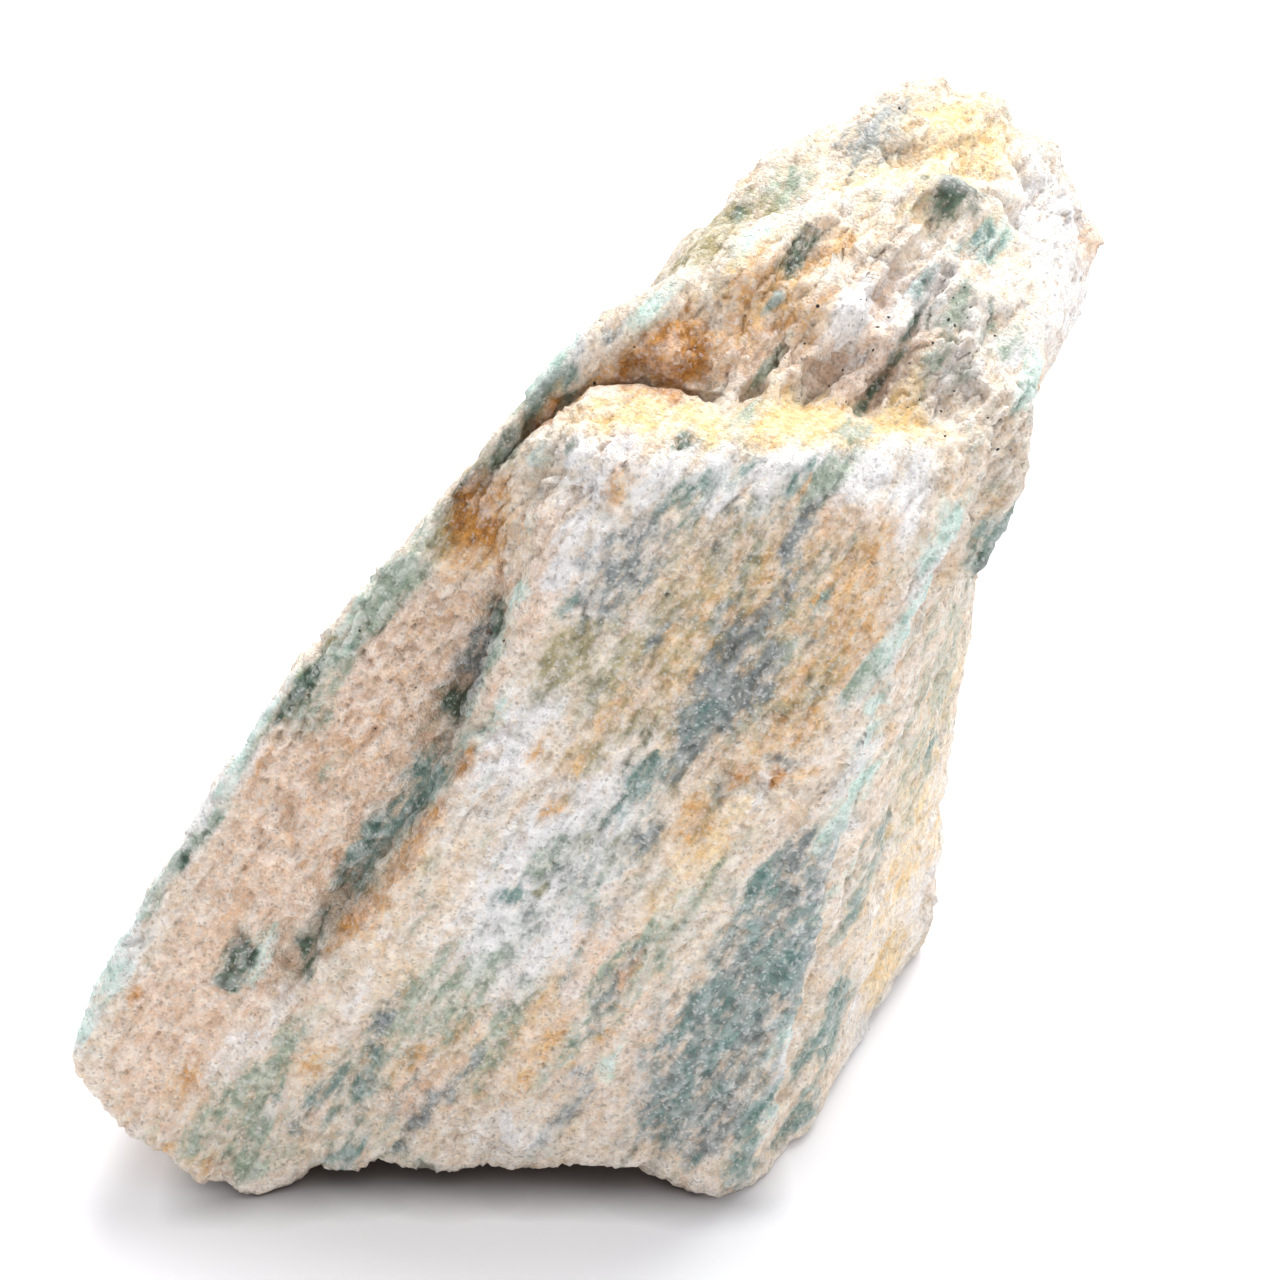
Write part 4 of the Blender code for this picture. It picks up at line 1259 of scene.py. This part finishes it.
class NodeTree:
    """A shader node tree, with a short call for each kind of node that the finishes are made of."""

    def __init__(self, tree: bpy.types.NodeTree) -> None:
        """Starts with an empty tree.

        Args:
            tree: the tree of a material or a group.
        """
        self.tree = tree
        self.nodes = tree.nodes
        self.nodes.clear()

    def add(self, kind: str, **settings: object) -> bpy.types.Node:
        """Adds a node.

        Args:
            kind: the node's type.
            settings: the node's own values.

        Returns:
            The node.
        """
        node = self.nodes.new(kind)
        for key, value in settings.items():
            setattr(node, key, value)
        return node

    def feed(self, socket: Socket, value: object) -> None:
        """Gives an input a link or a constant.

        Args:
            socket: the input.
            value: a socket to link it to, or its own value.
        """
        if isinstance(value, Socket):
            self.tree.links.new(value, socket)
        else:
            socket.default_value = value

    def fed(self, kind: str, inputs: dict[int | str, object], **settings: object) -> bpy.types.Node:
        """Adds a node and feeds its inputs.

        Args:
            kind: the node's type.
            inputs: what each input gets, by its name or number.
            settings: the node's own values.

        Returns:
            The node.
        """
        node = self.add(kind, **settings)
        for key, value in inputs.items():
            self.feed(node.inputs[key], value)
        return node

    def maths(self, operation: str, *values: object, clamp: bool = False) -> Socket:
        """The result of a Math node on the values."""
        inputs = dict(enumerate(values))
        return self.fed("ShaderNodeMath", inputs, operation=operation, use_clamp=clamp).outputs[0]

    def step(self, value: object, low: float, high: float, out_low: float = 0.0,
             out_high: float = 1.0, kind: str = "SMOOTHSTEP") -> Socket:
        """A value's way from out_low, where it is low, to out_high, where it is high."""
        inputs = {0: value, 1: low, 2: high, 3: out_low, 4: out_high}
        return self.fed("ShaderNodeMapRange", inputs, interpolation_type=kind).outputs["Result"]

    def mix(self, factor: object, under: object, over: object,
            blend: str = "MIX") -> Socket:
        """One colour laid over another by a factor."""
        inputs = {0: factor, 6: under, 7: over}
        return self.fed("ShaderNodeMix", inputs, data_type="RGBA", blend_type=blend).outputs[2]

    def noise(self, vector: object, scale: float, detail: float, roughness: float) -> Socket:
        """Smooth noise from 0 to 1."""
        inputs = {"Vector": vector, "Scale": scale, "Detail": detail, "Roughness": roughness}
        return self.fed("ShaderNodeTexNoise", inputs).outputs["Fac"]

    def stretched(self, vector: object, sizes: Place) -> Socket:
        """The vector divided by the sizes along its three axes."""
        return self.fed("ShaderNodeVectorMath", {0: vector, 1: sizes}, operation="DIVIDE").outputs[0]

    def channels(self, colour: object) -> list[Socket]:
        """The red, green and blue of a colour."""
        return list(self.fed("ShaderNodeSeparateColor", {0: colour}).outputs)

    def attribute(self, name: str) -> list[Socket]:
        """The three channels of one of the mesh's colour attributes."""
        return self.channels(self.add("ShaderNodeAttribute", attribute_name=name).outputs["Color"])

    def cells(self, place: object, size: object) -> tuple[Socket, ...]:
        """Cells of a size.

        Args:
            place: where to read them.
            size: how wide they are.

        Returns:
            The distance to the middle of each, and three random numbers of it.
        """
        inputs = {"Vector": place, "Scale": self.maths("DIVIDE", 1.0, size)}
        found = self.fed("ShaderNodeTexVoronoi", inputs).outputs
        return found["Distance"], *self.channels(found["Color"])

    def group(self, group: bpy.types.NodeTree, **values: object) -> Sockets:
        """Places a node group, feeds its inputs by name, with _ for a space, and gives its outputs."""
        inputs = {key.replace("_", " "): value for key, value in values.items()}
        return self.fed("ShaderNodeGroup", inputs, node_tree=group).outputs

    def surface(self, **values: object) -> None:
        """Adds the surface shader, feeds its inputs by name, with _ for a space, and puts it out.

        Args:
            values: what each input gets.
        """
        inputs = {key.replace("_", " "): value for key, value in values.items()}
        shader = self.fed("ShaderNodeBsdfPrincipled", inputs)
        self.fed("ShaderNodeOutputMaterial", {"Surface": shader.outputs[0]})


def new_group(name: str, inputs: dict[str, str], output: dict[str, str]) -> tuple:
    """Makes a shader node group with named sockets.

    Args:
        name: the group's name.
        inputs: the kind of each input socket, by name.
        output: the kind of each output socket, by name.

    Returns:
        The group, its NodeTree, its inputs and the node that puts its results out.
    """
    group = bpy.data.node_groups.new(name, "ShaderNodeTree")
    for side, sockets in (("INPUT", inputs), ("OUTPUT", output)):
        for key, kind in sockets.items():
            group.interface.new_socket(key, in_out=side, socket_type=f"NodeSocket{kind}")
    tree = NodeTree(group)
    return group, tree, tree.add("NodeGroupInput").outputs, tree.add("NodeGroupOutput")


def layer_place_group() -> bpy.types.NodeTree:
    """Turns a place in metres to millimetres along the layers' rise and depth and across them.

    Returns:
        The group.
    """
    group, tree, given, made = new_group("layer_place", {"Place": "Vector"}, {"Layers": "Vector"})
    turned = Matrix((Layers.rise, Layers.deep, Layers.facing)).to_euler()
    inputs = {"Vector": given["Place"], "Rotation": turned, "Scale": (1 / MM,) * 3}
    tree.feed(made.inputs["Layers"], tree.fed("ShaderNodeMapping", inputs).outputs["Vector"])
    return group


def sugar_grain_group() -> bpy.types.NodeTree:
    """Small crystal grains: random numbers for each one, and its rounded height.

    Returns:
        The group.
    """
    group, tree, given, made = new_group(
        "sugar_grain", {"Place": "Vector", "Size": "Float"},
        {"Chance": "Float", "Other Chance": "Float", "Height": "Float"},
    )
    distance, chance, other_chance, _ = tree.cells(given["Place"], given["Size"])
    tree.feed(made.inputs["Chance"], chance)
    tree.feed(made.inputs["Other Chance"], other_chance)
    tree.feed(made.inputs["Height"], tree.step(distance, 0.9, 0.0))
    return group


def mineral_cover_group() -> bpy.types.NodeTree:
    """Where a mineral shows: its amount, frayed by fine streaks and broken up into grains.

    Returns:
        The group.
    """
    group, tree, given, made = new_group(
        "mineral_cover",
        {"Amount": "Float", "Streak": "Float", "Fray": "Float", "Chance": "Float", "Dither": "Float"},
        {"Cover": "Float"},
    )
    amount = given["Amount"]
    spread = tree.maths("MULTIPLY", tree.maths("SUBTRACT", given["Streak"], 0.5), given["Fray"])
    frayed = tree.maths("MULTIPLY_ADD", spread, amount, amount)
    near = tree.maths("MULTIPLY", amount, 3.0, clamp=True)
    grainy = tree.maths("MULTIPLY", tree.maths("SUBTRACT", given["Chance"], 0.5), given["Dither"])
    total = tree.maths("MULTIPLY_ADD", grainy, near, frayed)
    tree.feed(made.inputs["Cover"], tree.step(total, 0.08, 0.85))
    return group


def speck_group() -> bpy.types.NodeTree:
    """Scattered dots: 1 in a dot and 0 between them.

    Returns:
        The group.
    """
    group, tree, given, made = new_group(
        "specks", {"Place": "Vector", "Spacing": "Float", "Radius": "Float", "Share": "Float"},
        {"Speck": "Float"},
    )
    distance, chance, _, size = tree.cells(given["Place"], given["Spacing"])
    reach = tree.maths("MULTIPLY", given["Radius"], tree.maths("MULTIPLY_ADD", size, 0.7, 0.5))
    dot = tree.maths("MULTIPLY", tree.maths("SUBTRACT", reach, distance), 12.0, clamp=True)
    there = tree.maths("LESS_THAN", chance, given["Share"])
    tree.feed(made.inputs["Speck"], tree.maths("MULTIPLY", dot, there))
    return group


@dataclass(frozen=True)
class Overlay:
    """How a mineral is laid over what is under it: its two tones, how frayed and grainy it is."""

    mineral: Mineral
    tone: Tone
    other_tone: Tone
    fray: float = 1.0
    dither: float = 0.18


@dataclass(frozen=True)
class Grains:
    """What the steps of the finish share: the tree, the place in the layers, and two sizes of grain."""

    tree: NodeTree
    layers: Socket
    fine: Sockets
    coarse: Sockets


@dataclass(frozen=True)
class SerpentineFinish:
    """The stone's finish: a pale sugary ground with the minerals in it."""

    name: str = "raw_serpentine"
    cream: Tone = Tone(0.96, 0.91, 0.84)
    buff: Tone = Tone(0.90, 0.81, 0.71)
    chalk: Tone = Tone(0.97, 0.96, 0.96)
    black: Tone = Tone(0.12, 0.13, 0.13)
    pepper: Tone = Tone(0.38, 0.38, 0.34)
    # The brown tone of the dirt and of the painted shade in the hollows.
    dirt_and_shade: Tone = Tone(0.62, 0.48, 0.36)
    overlays: tuple[Overlay, ...] = (
        Overlay(Mineral.TAN, Tone(0.97, 0.86, 0.76), Tone(0.90, 0.76, 0.65)),
        Overlay(Mineral.WHITE, Tone(0.99, 0.985, 0.98), Tone(0.95, 0.945, 0.945)),
        Overlay(Mineral.YELLOW, Tone(0.98, 0.87, 0.65), Tone(0.94, 0.78, 0.52), 0.7, 0.15),
        Overlay(Mineral.ORANGE, Tone(0.94, 0.78, 0.56), Tone(0.86, 0.64, 0.38), 1.0, 0.2),
        Overlay(Mineral.MINT, Tone(0.90, 0.97, 0.93), Tone(0.72, 0.86, 0.81), 1.0, 0.2),
        Overlay(Mineral.SAGE, Tone(0.72, 0.76, 0.68), Tone(0.54, 0.62, 0.54)),
        Overlay(Mineral.OLIVE, Tone(0.72, 0.67, 0.50), Tone(0.56, 0.53, 0.37)),
        Overlay(Mineral.BLUE_GREY, Tone(0.60, 0.63, 0.62), Tone(0.39, 0.43, 0.44)),
        Overlay(Mineral.TEAL, Tone(0.56, 0.66, 0.63), Tone(0.38, 0.52, 0.49)),
        Overlay(Mineral.DARK_GREEN, Tone(0.32, 0.46, 0.38), Tone(0.13, 0.24, 0.18), 0.8, 0.15),
        Overlay(Mineral.RUST, Tone(0.87, 0.61, 0.28), Tone(0.66, 0.43, 0.18), 0.8, 0.2),
    )

    fine_grain: float = 0.2
    coarse_grain: float = 0.46
    streak_shape: Place = (1.8, 1.8, 0.7)
    streak_limits: tuple[float, float] = (0.3, 0.7)
    mottle_scale: float = 1.1
    mottle_limits: tuple[float, float] = (0.36, 0.64)
    opacity: float = 0.92
    # How dark and how strong the dirt and painted shade in the hollows are, and how strong the painted
    # highlight on the crests is.
    dirt_and_shade_depth: float = 0.5
    dirt_and_shade_amount: float = 0.36
    crest_highlight_amount: float = 0.25
    darkest: float = 0.80
    fine_light: float = 0.18
    coarse_light: float = 0.16
    spot_light: float = 0.12
    spot_shape: Place = (0.9, 0.9, 0.5)
    spot_limits: tuple[float, float] = (0.36, 0.6)
    sugar_above: float = 0.9
    sugar_amount: float = 0.35
    pepper_below: float = 0.08
    pepper_amount: float = 0.3
    dot_share: float = 0.3
    dot_share_anywhere: float = 0.002
    dot_spacing: float = 0.6
    dot_radius: float = 0.24
    dull: float = 0.75
    glint: float = 0.3
    glint_above: float = 0.9
    fine_bump: float = 0.25
    coarse_bump: float = 0.4
    rough_bump: float = 2.2
    rough_scale: float = 1.5
    bump_depth: float = 0.3
    bump_strength: float = 0.9

    def build(self) -> bpy.types.Material:
        """Makes the material.

        Returns:
            The material, which reads Object coordinates and the mesh's mineral attributes.
        """
        material = bpy.data.materials.new(self.name)
        material.use_nodes = True
        tree = NodeTree(material.node_tree)
        place = tree.add("ShaderNodeTexCoord").outputs["Object"]
        layers = tree.group(layer_place_group(), Place=place)["Layers"]
        grain_group = sugar_grain_group()
        fine = tree.group(grain_group, Place=layers, Size=self.fine_grain)
        coarse = tree.group(grain_group, Place=layers, Size=self.coarse_grain)
        grains = Grains(tree, layers, fine, coarse)
        minerals = self.read_minerals(tree)
        colour = self.paint_hollow_shade_and_crest_highlight(grains, self.lay_minerals(grains, minerals))
        colour = self.grain(grains, colour)
        specks = minerals[Mineral.SPECKS]
        share = tree.maths("MULTIPLY_ADD", specks, self.dot_share, self.dot_share_anywhere)
        dots = tree.group(
            speck_group(), Place=layers, Spacing=self.dot_spacing, Radius=self.dot_radius, Share=share
        )
        tree.surface(
            Base_Color=tree.mix(dots["Speck"], colour, self.black.linear()),
            Roughness=tree.step(fine["Other Chance"], self.glint_above, 1.0, self.dull, self.glint),
            Normal=self.bump(grains),
        )
        return material

    @staticmethod
    def read_minerals(tree: NodeTree) -> dict[Mineral, Socket]:
        """The socket that carries each mineral's amount."""
        parts = {name: tree.attribute(name) for name in ATTRIBUTES}
        return {mineral: parts[mineral.value[0]][mineral.value[1]] for mineral in Mineral}

    def lay_minerals(self, grains: Grains,
                     minerals: dict[Mineral, Socket]) -> Socket:
        """Lays the minerals over the cream ground, one after the other.

        Args:
            grains: the tree and the grains.
            minerals: the amount of each mineral.

        Returns:
            The colour.
        """
        tree, layers = grains.tree, grains.layers
        streaks = tree.noise(tree.stretched(layers, self.streak_shape), 1.0, 4.0, 0.65)
        streak = tree.step(streaks, *self.streak_limits)
        shade = tree.step(tree.noise(layers, self.mottle_scale, 4.0, 0.65), *self.mottle_limits)
        colour = tree.mix(shade, self.cream.linear(), self.buff.linear())
        cover_group = mineral_cover_group()
        for number, overlay in enumerate(self.overlays):
            cover = tree.group(
                cover_group, Amount=minerals[overlay.mineral], Streak=streak, Fray=overlay.fray,
                Chance=grains.fine["Other Chance" if number % 2 else "Chance"], Dither=overlay.dither,
            )["Cover"]
            tone = tree.mix(shade, overlay.tone.linear(), overlay.other_tone.linear())
            colour = tree.mix(tree.maths("MULTIPLY", cover, self.opacity), colour, tone)
        return colour

    def paint_hollow_shade_and_crest_highlight(self, grains: Grains, colour: Socket) -> Socket:
        """Darkens the hollows with dirt and painted shade, and whitens the crests as a painted highlight.

        Args:
            grains: the tree and the grains.
            colour: the colour so far.

        Returns:
            The colour.
        """
        tree = grains.tree
        hollow, deep_hollow, crest = tree.attribute("relief")
        half_deep = tree.maths("MULTIPLY", deep_hollow, 0.5)
        # Painted shade with dirt: small and large hollows are darkened towards a brown tone.
        dirt_and_shade_share = tree.maths("MULTIPLY_ADD", hollow, 0.5, half_deep, clamp=True)
        dirt_and_shade = tree.mix(self.dirt_and_shade_depth, colour, self.dirt_and_shade.linear(), "MULTIPLY")
        colour = tree.mix(tree.maths("MULTIPLY", dirt_and_shade_share, self.dirt_and_shade_amount), colour, dirt_and_shade)
        # Painted highlight: the crests are whitened towards chalk.
        return tree.mix(tree.maths("MULTIPLY", crest, self.crest_highlight_amount), colour, self.chalk.linear())

    def grain(self, grains: Grains, colour: Socket) -> Socket:
        """Gives each grain a lightness of its own, and makes some of them white or grey.

        Args:
            grains: the tree and the grains.
            colour: the colour so far.

        Returns:
            The colour.
        """
        tree, fine = grains.tree, grains.fine
        value = tree.maths("MULTIPLY_ADD", fine["Other Chance"], self.fine_light, self.darkest)
        value = tree.maths("MULTIPLY_ADD", grains.coarse["Chance"], self.coarse_light, value)
        spots = tree.noise(tree.stretched(grains.layers, self.spot_shape), 1.0, 3.0, 0.6)
        value = tree.maths("MULTIPLY_ADD", tree.step(spots, *self.spot_limits), self.spot_light, value)
        level = tree.fed("ShaderNodeCombineColor", {0: value, 1: value, 2: value}).outputs[0]
        colour = tree.mix(1.0, colour, level, "MULTIPLY")
        sugar = tree.maths("GREATER_THAN", fine["Chance"], self.sugar_above)
        colour = tree.mix(tree.maths("MULTIPLY", sugar, self.sugar_amount), colour, self.chalk.linear())
        pepper = tree.maths("LESS_THAN", fine["Chance"], self.pepper_below)
        return tree.mix(tree.maths("MULTIPLY", pepper, self.pepper_amount), colour, self.pepper.linear())

    def bump(self, grains: Grains) -> Socket:
        """The grains' own relief.

        Args:
            grains: the tree and the grains.

        Returns:
            The way that the surface faces.
        """
        tree = grains.tree
        field = tree.noise(grains.layers, self.rough_scale, 5.0, 0.75)
        rough = tree.maths("MULTIPLY", field, self.rough_bump)
        height = tree.maths("MULTIPLY_ADD", grains.fine["Height"], self.fine_bump, rough)
        height = tree.maths("MULTIPLY_ADD", grains.coarse["Height"], self.coarse_bump, height)
        inputs = {"Height": height, "Distance": self.bump_depth * MM, "Strength": self.bump_strength}
        return tree.fed("ShaderNodeBump", inputs).outputs["Normal"]


@dataclass
class Studio:
    """The plain studio: a pale floor with a contact shadow painted in front of the stone, soft light from
    above and behind, and the camera. The lamps' places and sizes are in metres."""

    floor_width: float = 4.0
    floor_tone: Tone = Tone(0.96, 0.96, 0.97)
    floor_roughness: float = 0.9
    # The painted contact shadow: how far its occlusion reaches, how hard it is, where it stops, and its
    # dark tone.
    contact: float = 4.4
    contact_power: float = 2.2
    contact_middle: Place = (-9.0, -26.0, 0.0)
    contact_reach: tuple[float, float] = (15.0, 23.0)
    painted_contact_shadow_tone: Tone = Tone(0.30, 0.26, 0.24)
    sky: Tone = Tone(0.99, 0.99, 1.0)
    sky_strength: float = 0.84
    soft_boxes: tuple[tuple[str, Place, float, float], ...] = (
        ("top_light", (0.12, 0.34, 0.54), 0.6, 6.8),
        ("front_light", (0.05, -0.78, 0.34), 0.4, 1.2),
    )
    lit_place: Place = (0.0, 0.0, 0.03)
    target: Place = (2.816, -20.371, 45.0)
    look_down: float = 35.0
    distance: float = 350.0
    field: float = 87.0
    sensor: float = 36.0

    def build(self) -> None:
        """Makes the floor, the lights and the camera."""
        self.floor()
        self.light()
        self.camera()
        bpy.context.scene.view_settings.view_transform = "Standard"

    def floor(self) -> None:
        """A wide pale floor with a painted shadow, darker where the stone's front edge nearly touches it.
        """
        bpy.ops.mesh.primitive_plane_add(size=self.floor_width)
        floor = bpy.context.active_object
        floor.name = "studio_floor"
        material = bpy.data.materials.new("pale_floor")
        material.use_nodes = True
        tree = NodeTree(material.node_tree)
        # Painted contact shadow: the floor's colour goes dark where ambient occlusion finds the stone
        # close, near its front only.
        open_sky = tree.fed("ShaderNodeAmbientOcclusion", {"Distance": self.contact * MM})
        open_share = tree.maths("POWER", open_sky.outputs["AO"], self.contact_power)
        place = tree.add("ShaderNodeTexCoord").outputs["Object"]
        middle = Vector(self.contact_middle) * MM
        away = tree.fed("ShaderNodeVectorMath", {0: place, 1: middle}, operation="DISTANCE")
        start, end = (reach * MM for reach in self.contact_reach)
        outside = tree.step(away.outputs["Value"], start, end, kind="LINEAR")
        lightness = tree.maths("MAXIMUM", open_share, outside)
        tone = tree.mix(lightness, self.painted_contact_shadow_tone.linear(), self.floor_tone.linear())
        tree.surface(Base_Color=tone, Roughness=self.floor_roughness)
        floor.data.materials.append(material)

    def light(self) -> None:
        """An even white surround, a large soft light above and behind, and a weak one in front."""
        world = bpy.data.worlds.new("white_surround")
        world.use_nodes = True
        background = world.node_tree.nodes["Background"]
        background.inputs["Color"].default_value = self.sky.linear()
        background.inputs["Strength"].default_value = self.sky_strength
        bpy.context.scene.world = world
        for name, place, size, power in self.soft_boxes:
            lamp = bpy.data.lights.new(name, "AREA")
            lamp.shape = "DISK"
            lamp.size = size
            lamp.energy = power
            soft_box = bpy.data.objects.new(name, lamp)
            soft_box.location = place
            aim = Vector(self.lit_place) - soft_box.location
            soft_box.rotation_euler = aim.to_track_quat("-Z", "Y").to_euler()
            bpy.context.scene.collection.objects.link(soft_box)

    def camera(self) -> None:
        """The camera at the photograph's angle."""
        lens = bpy.data.cameras.new("camera")
        lens.sensor_width = self.sensor
        lens.lens = self.sensor * self.distance / self.field
        camera = bpy.data.objects.new("camera", lens)
        down = math.radians(self.look_down)
        back = Vector((0.0, -math.cos(down), math.sin(down))) * self.distance
        camera.location = (Vector(self.target) + back) * MM
        camera.rotation_euler = (math.pi / 2 - down, 0.0, 0.0)
        bpy.context.scene.collection.objects.link(camera)
        bpy.context.scene.camera = camera


def main() -> None:
    """Builds the stone, dresses it and sets up the studio."""
    logging.basicConfig(level=logging.INFO, format="%(message)s")
    Studio().build()
    stone = StoneSkin().build()
    stone.data.materials.append(SerpentineFinish().build())
    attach(stone, BODY)
    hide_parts(NODE)
    LOG.info("%s: %d triangles", stone.name, len(stone.data.polygons))


if __name__ == "__main__":
    main()
